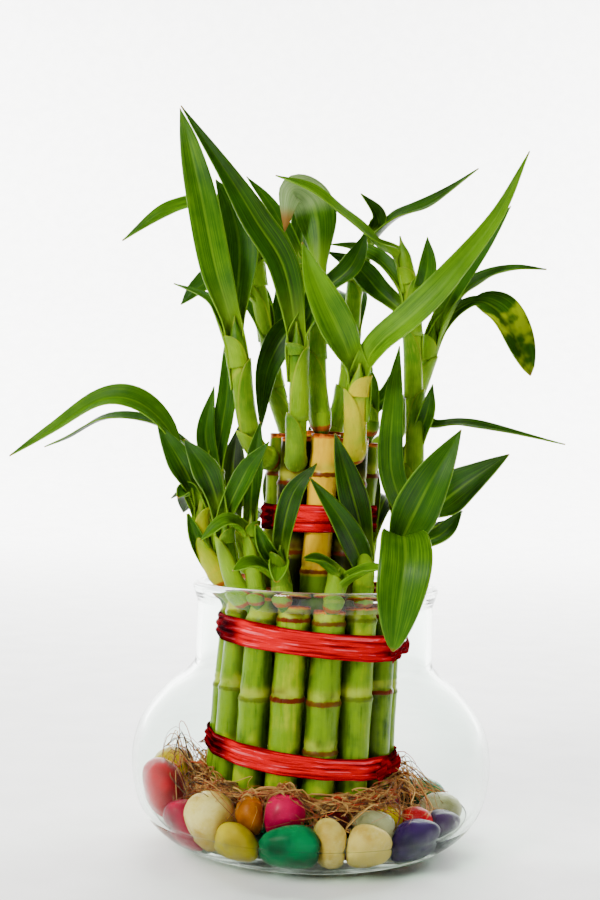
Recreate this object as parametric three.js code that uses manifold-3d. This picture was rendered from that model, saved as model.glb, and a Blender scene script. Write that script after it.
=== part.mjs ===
// A lucky bamboo tower in a round glass bowl: two tiers of cut canes held by three red ribbons,
// with leafy shoots, a collar of roots, coloured pebbles and a little water.
// Millimetres, +Z up, origin at the middle of the bowl's flat underside, front towards -Y.
import * as THREE from 'three';
import { mergeVertices } from 'three/addons/utils/BufferGeometryUtils.js';
import Module from 'manifold-3d';

const wasm = await Module();
wasm.setup();

// Driving sizes
const GAP = 0.3; // left between pieces that touch
const BOWL_HEIGHT = 80.4;
const BOWL_WALL = 1.9;
const BOWL_BASE_RADIUS = 33;
const BOWL_BELLY_RADIUS = 55;
const BOWL_NECK_RADIUS = 36.4;
const BOWL_LIP_RADIUS = 37.8;
const BOWL_CREASE_HEIGHT = 55.8; // where the shoulder meets the neck
const BOWL_SIDES = 30;
const WATER_LEVEL = 10.6;
const WALL_CLEARANCE = GAP + 0.3; // the facets of the glass lie a little inside its curve
const OUTER_CANES = 14;
const OUTER_RING_RADIUS = 24.3;
const OUTER_CANE_RADIUS = 5.1;
const OUTER_LEAN = 0.045; // sideways run per mm of height
const OUTER_TAPER = 0.001; // how much narrower the outer tier gets, as a share per mm of height
const INNER_CANES = 8;
const INNER_RING_RADIUS = 12.5;
const INNER_CANE_RADIUS = 4.6;
const INNER_LEAN = 0.05;
const CENTRE_CANE_RADIUS = 7.65;
const INNER_TOP = 126;
const CANE_SIDES = 7;
const FOOT_HEIGHT = 19; // the canes' feet, on the pebbles
const FOOT_SHIFT = -3.6; // the bundle stands left of the bowl's middle
const RIBBON_THICKNESS = 1.1;
const BLADE_THICKNESS = 0.7;
const NARROW_LEAF = 6; // a leaf no wider than this has one step fewer along it
const BLADE_FOLD = 0.36; // rise of a blade's edges over its midrib, per mm of half width
const PEBBLE_CEILING = FOOT_HEIGHT - GAP;

const UP = new THREE.Vector3(0, 0, 1);
const vec = (x, y, z) => new THREE.Vector3(x, y, z);
const rad = THREE.MathUtils.degToRad;

// Materials
const finish = (color, roughness, more = {}) =>
  new THREE.MeshStandardMaterial({ color, roughness, metalness: 0, ...more });
const GLASS = { transparent: true, opacity: 0.3 };
const LIQUID = { transparent: true, opacity: 0.5 };
const PEBBLE_COLOURS = {
  red: 0xd8303f,
  magenta: 0xd4145a,
  cream: 0xf0dfa0,
  yellow: 0xf2da10,
  amber: 0xd99a10,
  pink: 0xf5105f,
  green: 0x0e9a68,
  maroon: 0x6a1420,
  purple: 0x4b3a7a,
  grey: 0xc9c5a8,
};

const part = new THREE.Group();

function addMesh(name, geometry, material) {
  const mesh = new THREE.Mesh(geometry, material);
  mesh.name = name;
  part.add(mesh);
}

// Solids

// A closed geometry as a solid that can be joined and cut.
function solidOf(geometry) {
  const bare = geometry.clone();
  bare.deleteAttribute('normal');
  bare.deleteAttribute('uv');
  const merged = mergeVertices(bare, 1e-4);
  const mesh = new wasm.Mesh({
    numProp: 3,
    vertProperties: new Float32Array(merged.attributes.position.array),
    triVerts: new Uint32Array(merged.index.array),
  });
  return new wasm.Manifold(mesh);
}

function geometryOf(solid) {
  const { vertProperties, triVerts } = solid.getMesh();
  const geometry = new THREE.BufferGeometry();
  geometry.setAttribute('position', new THREE.BufferAttribute(vertProperties, 3));
  geometry.setIndex(new THREE.BufferAttribute(triVerts, 1));
  geometry.computeVertexNormals();
  return geometry;
}

const fuse = (solids) => solids.reduce((whole, next) => whole.add(next));

// The largest of the bodies that a cut leaves.
function mainBody(solid) {
  const bodies = solid.decompose().sort((a, b) => b.volume() - a.volume());
  return bodies[0];
}

function moveVertices(geometry, place) {
  const position = geometry.attributes.position;
  const point = new THREE.Vector3();
  for (let i = 0; i < position.count; i += 1) {
    point.fromBufferAttribute(position, i);
    place(point);
    position.setXYZ(i, point.x, point.y, point.z);
  }
  return geometry;
}

// The place at share t of a curve, with the directions across it and out of its face.
function frameOn(curve, t, facing) {
  const tangent = curve.getTangent(t);
  const across = new THREE.Vector3().crossVectors(tangent, facing).normalize();
  const out = new THREE.Vector3().crossVectors(across, tangent);
  return { at: curve.getPoint(t), across, out };
}

const smooth = (points) =>
  new THREE.CatmullRomCurve3(points.map((p) => vec(...p)), false, 'catmullrom', 0.5);

// A round stem that tapers along a smooth line through points.
function stemSolid(points, lowRadius, highRadius, sides = 5, steps = 3) {
  const curve = smooth(points);
  const geometry = new THREE.CylinderGeometry(highRadius, lowRadius, 1, sides, steps);
  moveVertices(geometry, (p) => {
    const { at, across, out } = frameOn(curve, p.y + 0.5, vec(0, 1, 0.1));
    const [x, z] = [p.x, p.z];
    p.copy(at).addScaledVector(across, x).addScaledVector(out, z);
  });
  return solidOf(geometry);
}

// Width of a leaf at a share of its length, as a share of its greatest width: a clasping base,
// a broad middle and a long point. A blunt leaf is broadest nearer its tip, which is rounder.
function leafOutline(share, stalk, blunt) {
  const t = Math.max(0, (share - stalk) / (1 - stalk));
  const clasp = 0.3 * (1 - t) ** 4;
  const belly = Math.sin(Math.PI * t ** (0.8 + 0.5 * blunt)) ** (0.9 - 0.35 * blunt);
  return Math.max(0.07, clasp + belly);
}

// An arched blade, folded a little along its midrib, whose two faces are split alike.
function leafSolid({ line, width, face = [0, 0, 1], stalk = 0, blunt = 0 }) {
  const steps = line.length + (width > NARROW_LEAF ? 1 : 0);
  const curve = smooth(line);
  const plane = new THREE.PlaneGeometry(1, 1, 2, steps);
  const { position } = plane.attributes;
  const count = position.count;
  const places = [];
  for (const side of [0.5, -0.5]) {
    for (let i = 0; i < count; i += 1) {
      const t = 0.5 - position.getY(i);
      const { at, across, out } = frameOn(curve, t, vec(...face));
      const half = position.getX(i) * width * leafOutline(t, stalk, blunt);
      const lift = Math.abs(half) * BLADE_FOLD + side * BLADE_THICKNESS;
      places.push(at.addScaledVector(across, half).addScaledVector(out, lift));
    }
  }
  const index = [];
  const source = plane.index.array;
  for (let i = 0; i < source.length; i += 3) {
    const [a, b, c] = [source[i], source[i + 1], source[i + 2]];
    index.push(a, c, b, a + count, b + count, c + count);
  }
  const rim = bladeRim(steps);
  rim.forEach((a, i) => {
    const b = rim[(i + 1) % rim.length];
    index.push(b, a, a + count, b, a + count, b + count);
  });
  const geometry = new THREE.BufferGeometry().setFromPoints(places);
  geometry.setIndex(index);
  return solidOf(geometry);
}

// The vertices round the edge of a blade that is two faces wide, in order.
function bladeRim(steps) {
  const rows = Array.from({ length: steps + 1 }, (_, row) => row * 3);
  const right = rows.map((row) => row + 2);
  const left = rows.toReversed();
  return [0, 1, ...right, steps * 3 + 1, ...left.slice(0, -1)];
}

// Glass bowl

const BELLY = [
  [BOWL_BASE_RADIUS, 0],
  [45, 4.6],
  [52.6, 13.5],
  [BOWL_BELLY_RADIUS, 26],
  [52.8, 37.5],
  [46, 47],
  [39.5, 52.4],
  [BOWL_NECK_RADIUS + 0.2, BOWL_CREASE_HEIGHT],
];

const bellyCurve = new THREE.SplineCurve(BELLY.map((p) => new THREE.Vector2(...p)));
const BELLY_STEPS = 7;
const outerBelly = bellyCurve.getPoints(BELLY_STEPS);
const innerBelly = outerBelly.map((p, i) => {
  const tangent = bellyCurve.getTangent(i / BELLY_STEPS);
  const inward = new THREE.Vector2(-tangent.y, tangent.x);
  return p.clone().addScaledVector(inward, BOWL_WALL);
});
const FLOOR = innerBelly[0].y;

// Radius of the glass's inside at a height in the belly.
function insideRadius(z) {
  const above = innerBelly.findIndex((p) => p.y > z);
  if (above < 1) return innerBelly[0].x;
  const [low, high] = [innerBelly[above - 1], innerBelly[above]];
  return THREE.MathUtils.mapLinear(z, low.y, high.y, low.x, high.x);
}

function bowlGeometry() {
  const neckInside = BOWL_NECK_RADIUS - BOWL_WALL;
  const lip = [
    [BOWL_NECK_RADIUS, BOWL_HEIGHT - 4],
    [BOWL_LIP_RADIUS, BOWL_HEIGHT - 1.4],
    [BOWL_LIP_RADIUS - 0.9, BOWL_HEIGHT],
    [neckInside + 0.6, BOWL_HEIGHT - 0.3],
    [neckInside, BOWL_HEIGHT - 2.6],
    [neckInside, BOWL_CREASE_HEIGHT],
  ].map((p) => new THREE.Vector2(...p));
  const profile = [
    new THREE.Vector2(0, 0),
    ...outerBelly,
    ...lip,
    ...innerBelly.slice(0, -1).toReversed(),
    new THREE.Vector2(0, FLOOR),
  ];
  return new THREE.LatheGeometry(profile, BOWL_SIDES).rotateX(Math.PI / 2);
}

addMesh('glass_bowl', bowlGeometry(), finish(0xf4fbf8, 0.04, GLASS));

// Pebbles: squarish stones, pressed flat where they meet each other and the glass

// name, colour, place, half sizes, turn about +Z and tilt to the side in degrees
const PEBBLES = [
  ['green_front', 'green', [-5.4, -40.6, 9.6], [12, 8, 7.2], 0, -2],
  ['yellow_front', 'yellow', [-21.2, -37.6, 9.4], [9.2, 8, 7.8], -20, 0],
  ['magenta_left', 'magenta', [-37, -25.5, 9.8], [9.2, 9, 8.2], -30, 18],
  ['red_left', 'red', [-45, -15, 16.6], [8, 9.6, 11], 0, -14],
  ['cream_left', 'cream', [-28.2, -32, 13.6], [9.2, 7.8, 8.6], 10, 24],
  ['cream_slanted', 'cream', [5.6, -37.5, 10.8], [5.8, 7, 9], 0, -28],
  ['cream_right', 'cream', [15.6, -38.2, 9.4], [7.8, 7.2, 7], 16, 0],
  ['purple_right', 'purple', [29.4, -31, 9.2], [9.4, 7.8, 6.8], 34, -8],
  ['amber_front', 'amber', [-17.2, -33.5, 15.8], [5, 5.4, 6], 0, 0],
  ['pink_front', 'pink', [-8, -34, 15.8], [6.8, 5.8, 7], 0, 8],
  ['maroon_front', 'maroon', [7, -32.5, 13.2], [5.6, 5, 5.2], 10, 0],
  ['grey_front', 'grey', [18, -31, 12.6], [8.2, 5.6, 5.4], -10, 0],
  ['plum_right', 'purple', [38.6, -17.6, 9.2], [6.8, 7.6, 6], 30, 0],
  ['red_right', 'red', [31, -21.5, 12], [5.4, 5.6, 5], 20, 0],
  ['yellow_right', 'yellow', [23, -23.5, 12.5], [5, 4.8, 4.8], 0, 0],
  ['grey_right', 'grey', [40.5, -2.5, 9.6], [7.4, 8.2, 7], 10, 0],
  ['yellow_left', 'yellow', [-43.5, 4.5, 19], [7, 9, 7.8], 0, 10],
  ['orange_left', 'amber', [-39, -4, 9.5], [7.8, 9, 7.4], 0, 0],
  ['white_left', 'grey', [-24, -16, 10], [8.4, 8, 8.4], 30, 0],
  ['green_middle', 'green', [-8, -18, 10], [8.6, 8, 8.4], 0, 0],
  ['cream_middle', 'cream', [9, -15, 10], [8.8, 8.2, 8.4], 40, 0],
  ['blue_middle', 'purple', [-18, 1, 10], [8.8, 8.2, 8.4], 70, 0],
  ['yellow_middle', 'yellow', [0, 1, 10], [9, 8.2, 8.4], 20, 0],
  ['pink_middle', 'pink', [19, 4, 10], [9.4, 9, 8.6], 120, 0],
  ['plum_middle', 'purple', [1, 17, 10], [10, 8.8, 8.6], 0, 0],
  ['green_right', 'green', [36, 13, 9.8], [8.4, 9.4, 7.6], 30, 0],
  ['cream_back', 'cream', [23, 31, 10], [9.6, 8.4, 8], -36, 0],
  ['red_back', 'red', [5, 36, 10], [9.4, 8, 8], -10, 0],
  ['amber_back', 'amber', [-14, 33, 10], [9.2, 8.2, 8], 16, 0],
  ['white_back', 'grey', [-31, 21, 10.5], [9.2, 9, 8.4], 46, 0],
];
const INSIDE_PEBBLES = 31; // nearer the middle than this they are hidden, with fewer faces
const SQUARENESS = 2.4; // exponent of a stone's outline: 2 is an ellipsoid
const PRESSED_EDGES = 9; // higher makes sharper edges round the flats

const localWay = (way, turn, tilt) =>
  way.clone().applyAxisAngle(UP, -rad(turn)).applyAxisAngle(vec(0, 1, 0), -rad(tilt));

// How far a stone that nothing presses reaches from its centre in one direction.
function freeReach([, , , halves, turn, tilt], way) {
  const shares = localWay(way, turn, tilt).toArray().map((part, i) => Math.abs(part / halves[i]));
  return shares.reduce((sum, share) => sum + share ** SQUARENESS, 0) ** (-1 / SQUARENESS);
}

// The planes that press a stone, as { normal, height over the stone's centre }.
function pressingPlanes(pebble) {
  const centre = vec(...pebble[2]);
  const planes = [{ normal: vec(0, 0, -1), height: centre.z - FLOOR - GAP }];
  for (const other of PEBBLES) {
    if (other !== pebble) {
      const way = vec(...other[2]).sub(centre);
      const apart = way.length();
      way.normalize();
      const [own, theirs] = [freeReach(pebble, way), freeReach(other, way.clone().negate())];
      planes.push({ normal: way, height: (apart * own) / (own + theirs) - GAP / 2 });
    }
  }
  const toBundle = vec(FOOT_SHIFT - centre.x, -centre.y, 0);
  const aside = toBundle.length() - OUTER_RING_RADIUS - OUTER_CANE_RADIUS - GAP;
  if (aside > 2) planes.push({ normal: toBundle.normalize(), height: aside });
  else planes.push({ normal: UP.clone(), height: PEBBLE_CEILING - centre.z });
  return planes;
}

// How far a ray from a stone's centre runs before it meets the inside of the glass.
function glassReach(centre, way) {
  const chord = Math.cos(Math.PI / BOWL_SIDES);
  let [near, far] = [0, BOWL_BELLY_RADIUS];
  for (let halving = 0; halving < 24; halving += 1) {
    const middle = (near + far) / 2;
    const point = centre.clone().addScaledVector(way, middle);
    const free = insideRadius(point.z) * chord - GAP;
    if (point.z > FLOOR && Math.hypot(point.x, point.y) < free) near = middle;
    else far = middle;
  }
  return near;
}

function pebbleGeometry(pebble) {
  const [, , place] = pebble;
  const centre = vec(...place);
  const hidden = Math.hypot(place[0], place[1]) < INSIDE_PEBBLES;
  const ball = hidden ? new THREE.OctahedronGeometry(1, 1) : new THREE.IcosahedronGeometry(1, 1);
  const planes = pressingPlanes(pebble);
  moveVertices(ball, (p) => {
    const way = p.clone().normalize();
    const reaches = planes
      .filter(({ normal }) => normal.dot(way) > 0.01)
      .map(({ normal, height }) => height / normal.dot(way));
    reaches.push(freeReach(pebble, way), glassReach(centre, way));
    const closeness = reaches.reduce((sum, reach) => sum + reach ** -PRESSED_EDGES, 0);
    p.copy(centre).addScaledVector(way, closeness ** (-1 / PRESSED_EDGES));
  });
  return mergeVertices(ball.deleteAttribute('uv').deleteAttribute('normal'), 1e-4);
}

const pebbles = PEBBLES.map((pebble) => {
  const [name, colour, place] = pebble;
  return { name, colour, at: vec(...place), shape: pebbleGeometry(pebble) };
});
for (const { name, colour, shape } of pebbles) {
  const drawn = shape.clone();
  drawn.computeVertexNormals();
  addMesh(`pebble_${name}`, drawn, finish(PEBBLE_COLOURS[colour], 0.25));
}

// Height of the pebbles' surface over a spot of the floor, and the floor's own where it is bare.
function pebbleTop(x, y) {
  const ray = new THREE.Ray(vec(x, y, BOWL_HEIGHT), UP.clone().negate());
  const hit = new THREE.Vector3();
  let top = FLOOR;
  for (const { shape } of pebbles) {
    const { position } = shape.attributes;
    for (let i = 0; i < shape.index.count; i += 3) {
      const corners = [0, 1, 2].map((n) =>
        new THREE.Vector3().fromBufferAttribute(position, shape.index.getX(i + n)),
      );
      if (ray.intersectTriangle(...corners, true, hit)) top = Math.max(top, hit.z);
    }
  }
  return top;
}

// The highest of the pebbles' surface within a small distance of a spot.
function topNear(x, y, distance) {
  const spots = [[0, 0], [1, 0], [0, 1], [-1, 0], [0, -1]];
  return Math.max(...spots.map(([u, v]) => pebbleTop(x + u * distance, y + v * distance)));
}

// Water in the gaps between the pebbles

const WATER_CLEARANCE = 2 * GAP; // outward from a stone's centre

function waterSolid() {
  const shore = insideRadius(WATER_LEVEL) - WALL_CLEARANCE;
  const wet = innerBelly.filter((p) => p.y < WATER_LEVEL - 1);
  const profile = [
    new THREE.Vector2(0, FLOOR + GAP),
    ...wet.map((p) => new THREE.Vector2(p.x - WALL_CLEARANCE, p.y + GAP)),
    new THREE.Vector2(shore, WATER_LEVEL),
    new THREE.Vector2(0, WATER_LEVEL),
  ];
  const pool = solidOf(new THREE.LatheGeometry(profile, BOWL_SIDES).rotateX(Math.PI / 2));
  const holes = pebbles.map(({ shape, at }) => {
    const hole = shape.clone().translate(-at.x, -at.y, -at.z);
    moveVertices(hole, (p) => p.setLength(p.length() + WATER_CLEARANCE));
    return solidOf(hole.translate(at.x, at.y, at.z));
  });
  return mainBody(pool.subtract(fuse(holes)));
}

addMesh('water', geometryOf(waterSolid()), finish(0xe6f2ee, 0.05, LIQUID));

// Canes

const outerAzimuth = (k) => -90 + (k + 0.5) * (360 / OUTER_CANES);
const innerAzimuth = (k) => -90 + k * (360 / INNER_CANES);

// Shifts a solid's points sideways with height, so that the upright bundle leans, and draws
// them in with height where the bundle narrows.
const leaning = ({ lean, taper }) => (p) => {
  const rise = p.z - FOOT_HEIGHT;
  const share = 1 - taper * rise;
  p.x = p.x * share + FOOT_SHIFT + lean * rise;
  p.y *= share;
};
const OUTER_STANCE = { lean: OUTER_LEAN, taper: OUTER_TAPER };
const INNER_STANCE = { lean: INNER_LEAN, taper: 0 };

function caneGeometry({ azimuth, ring, radius, top, nodes, stance }) {
  const ridge = 0.12;
  const waist = 0.18;
  const profile = [
    [0, FOOT_HEIGHT],
    [radius - 0.7, FOOT_HEIGHT],
    [radius - waist, FOOT_HEIGHT + 1],
  ];
  for (const height of nodes) {
    profile.push([radius + ridge, height - 0.5], [radius - waist, height + 1.3]);
  }
  profile.push([radius, top - 0.8], [radius - 0.6, top], [0, top]);
  const points = profile.map((p) => new THREE.Vector2(...p));
  const geometry = new THREE.LatheGeometry(points, CANE_SIDES).rotateX(Math.PI / 2);
  const [x, y] = [ring * Math.cos(rad(azimuth)), ring * Math.sin(rad(azimuth))];
  return moveVertices(geometry.translate(x, y, 0), leaning(stance));
}

// Leafy shoots: each stem's line, its radius at the foot and the tip, and its leaves. A leaf's
// line runs from inside the stem to the tip, and face is the way that its upper side looks.
const TO_FRONT = [0, -1, 0.25];
const TO_BACK = [0, 1, 0.25];

const OUTER_TOPS = [75.5, 77, 78, 79, 80, 79.5, 80, 81, 80, 81, 82, 82, 79.5, 77];

// The outer canes' shoots, one list for each cane from the front right round by the right.
const OUTER_SHOOTS = [
  [
    {
      stem: [[3.5, -24, 70], [5, -26.5, 79], [6.5, -27, 87]],
      leaves: [
        { line: [[6.5, -27, 85], [1.5, -31, 89.5], [-4, -34.5, 90]], width: 4, face: [0, -0.6, 1] },
        { line: [[6.5, -27, 83], [13, -32, 87], [19, -36, 88]], width: 6, face: [0, -0.6, 1] },
      ],
    },
  ],
  [
    {
      stem: [[13, -19, 72], [14, -20, 84], [14, -19.5, 96]],
      leaves: [
        { line: [[14, -19.5, 93], [9, -25.5, 110], [4, -24, 126]], width: 8.5, face: TO_FRONT },
        { line: [[14, -20, 86], [7, -29.5, 100], [-3, -32, 113]], width: 7.6, face: TO_FRONT },
      ],
    },
  ],
  [
    {
      stem: [[20, -12, 72], [22.5, -18, 84], [23.5, -22, 96]],
      leaves: [
        { line: [[23.5, -22, 92], [30.5, -28, 110], [40.5, -27, 128]], width: 13, face: [0.1, -1, 0.3] },
        {
          line: [[23, -20, 89], [24, -33, 97], [24, -43, 90], [22.5, -46, 79], [21, -47, 66]],
          width: 14.5,
          face: [0, -1, 1],
          blunt: 0.7,
        },
      ],
    },
  ],
  [
    {
      stem: [[22, -1, 72], [27, -4, 90], [29, -5, 107], [28.3, -5, 140], [27, -4, 168], [23, -2, 188]],
      radius: [3.3, 2.1],
      leaves: [
        {
          line: [[23, -2, 183], [15, -9, 185], [5, -15, 191], [-5, -18, 198], [-15.5, -18, 202]],
          width: 8,
          face: [0.2, -0.7, 1],
        },
        { line: [[27.5, -4, 164], [31, -8, 176], [31, -7.5, 187]], width: 6, face: TO_FRONT },
        { line: [[27, -4, 162], [17, 3, 172], [10, 4, 179], [1, 6, 184]], width: 8, face: TO_FRONT },
        { line: [[26, -3, 170], [20, 6, 180], [11, 9, 185.5], [2, 10, 187]], width: 6, face: [0, -1, 1] },
        {
          line: [[28, -5, 98], [21.5, -12.5, 116], [21.5, -15, 137], [23, -13, 153]],
          width: 7.5,
          face: TO_FRONT,
        },
        { line: [[29, -5, 122], [32, -10, 133], [33.5, -11, 142]], width: 4.4, face: TO_FRONT },
        {
          line: [[29, -5, 101], [37, -9, 106], [45, -12, 112.5], [57, -12, 121.5]],
          width: 13.5,
          face: [-0.3, -1, 0.5],
        },
        { line: [[27.5, -4, 91], [38, -7, 97], [44, -7, 104]], width: 5.5, face: TO_FRONT },
      ],
    },
  ],
  [
    {
      stem: [[20, 10, 72], [26, 16, 86], [28, 20, 98]],
      leaves: [
        { line: [[28, 20, 95], [41, 28, 110], [55, 32, 112]], width: 12 },
        { line: [[28, 20, 96], [29, 26, 114], [34, 31, 131]], width: 11, face: [-0.6, -1, 0.4] },
        { line: [[25, 15, 84], [36, 13, 96], [45, 13, 101]], width: 8 },
      ],
    },
  ],
  [
    {
      stem: [[13, 19, 72], [17, 26, 86], [18, 29, 96]],
      leaves: [
        { line: [[18, 29, 93], [24, 42, 106], [29, 54, 103]], width: 11 },
        { line: [[18, 29, 94], [17, 33, 110], [18, 37, 124]], width: 9, face: [0, -1, 0.4] },
      ],
    },
  ],
  [
    {
      stem: [[4, 23, 72], [5, 31, 88], [4, 33, 100]],
      leaves: [
        { line: [[4, 33, 97], [8, 46, 113], [11, 60, 110]], width: 12 },
        { line: [[4, 33, 98], [-1, 37, 116], [-3, 42, 130]], width: 10, face: [0, -1, 0.4] },
      ],
    },
  ],
  [
    {
      stem: [[-7, 23, 72], [-9, 30, 85], [-12, 32, 95]],
      leaves: [
        { line: [[-12, 32, 92], [-18, 44, 101], [-24, 56, 94]], width: 11 },
        { line: [[-12, 32, 93], [-14, 35, 108], [-14, 40, 121]], width: 9, face: [0, -1, 0.4] },
      ],
    },
  ],
  [
    {
      stem: [[-18, 19, 72], [-23, 25, 86], [-27, 27, 98]],
      leaves: [
        { line: [[-27, 27, 95], [-38, 38, 108], [-50, 45, 104]], width: 12 },
        { line: [[-27, 27, 96], [-28, 29, 114], [-27, 33, 129]], width: 9, face: [0, -1, 0.4] },
      ],
    },
  ],
  [
    {
      stem: [[-24, 10, 74], [-31, 12, 88], [-34, 12, 101]],
      leaves: [
        { line: [[-34, 12, 98], [-40, 19, 105], [-44, 27, 100]], width: 11 },
        { line: [[-34, 12, 99], [-35, 13, 118], [-36, 16, 130]], width: 9, face: [0.4, -1, 0.3] },
      ],
    },
  ],
  [
    {
      stem: [[-27, 0, 74], [-31, -1, 90], [-32, -2, 106], [-32, -2, 118]],
      leaves: [
        {
          line: [
            [-32, -2, 114], [-41, -3, 122], [-52, -4, 128],
            [-66, -1, 129], [-78, 2, 123], [-86, 4, 120],
          ],
          width: 7,
          face: [0, -0.25, 1],
          stalk: 0.12,
        },
        { line: [[-32, -2, 111], [-35, -4, 125], [-33, -3, 140]], width: 6, face: TO_FRONT },
        { line: [[-32, -2, 115], [-29, -2, 138], [-30, 0, 155]], width: 6, face: TO_FRONT },
      ],
    },
  ],
  [
    {
      stem: [[-25, -10, 76], [-31, -10, 85], [-35, -9, 93], [-35.5, -9, 108]],
      leaves: [
        {
          line: [
            [-35.5, -9, 105], [-40, -10.5, 116], [-47, -13, 127.5], [-56, -15.5, 134],
            [-66, -15.5, 133.8], [-80, -13, 125], [-93.5, -11, 116.8],
          ],
          width: 9.5,
          face: [0.1, -0.8, 1],
          stalk: 0.26,
        },
        {
          line: [[-35, -9, 102], [-39, -14, 112], [-43, -16, 119], [-49, -14, 128]],
          width: 8.5,
          face: TO_FRONT,
        },
        { line: [[-35, -9, 99], [-39, -13, 108], [-42, -15, 106]], width: 5, face: [-0.3, -1, 0.6] },
        { line: [[-33, -10, 87], [-36, -13, 93], [-39, -14, 101]], width: 4.2, face: TO_FRONT },
      ],
    },
  ],
  [
    {
      stem: [[-18, -19, 72], [-25, -20, 84], [-28, -20, 101]],
      leaves: [
        {
          line: [[-28, -20, 97], [-31, -23, 109], [-34.5, -24, 116], [-40, -22, 123]],
          width: 8.6,
          face: TO_FRONT,
        },
        { line: [[-28, -20, 98], [-22, -25, 113], [-15, -26, 123]], width: 6.2, face: TO_FRONT },
      ],
    },
    {
      stem: [[-16, -21, 72], [-18.5, -22, 86], [-20, -20.5, 103]],
      radius: [2.6, 1.8],
      leaves: [
        { line: [[-19.5, -21.5, 95], [-26, -27, 100], [-34, -28.5, 94]], width: 5.5, face: [0, -1, 1] },
        { line: [[-20, -20.5, 100], [-19.5, -18.5, 115], [-18, -17, 129]], width: 6, face: TO_FRONT },
      ],
    },
  ],
  [
    {
      stem: [[-8, -24, 71], [-10.5, -25.5, 83], [-11, -25, 93]],
      leaves: [
        { line: [[-11, -25, 90], [-8, -29.5, 107], [-1, -29.5, 117]], width: 6.4, face: TO_FRONT },
        { line: [[-11, -25, 86], [-15, -28.5, 92], [-18, -29, 99]], width: 4, face: TO_FRONT },
        { line: [[-11, -25, 84], [-18, -31.5, 88], [-24, -35.5, 86]], width: 7, face: [0, -0.8, 1] },
        { line: [[-11, -26, 86], [-11, -32, 88.5], [-11.5, -36, 83.5]], width: 7.5, face: [0, -1, 1] },
      ],
    },
  ],
];

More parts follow.
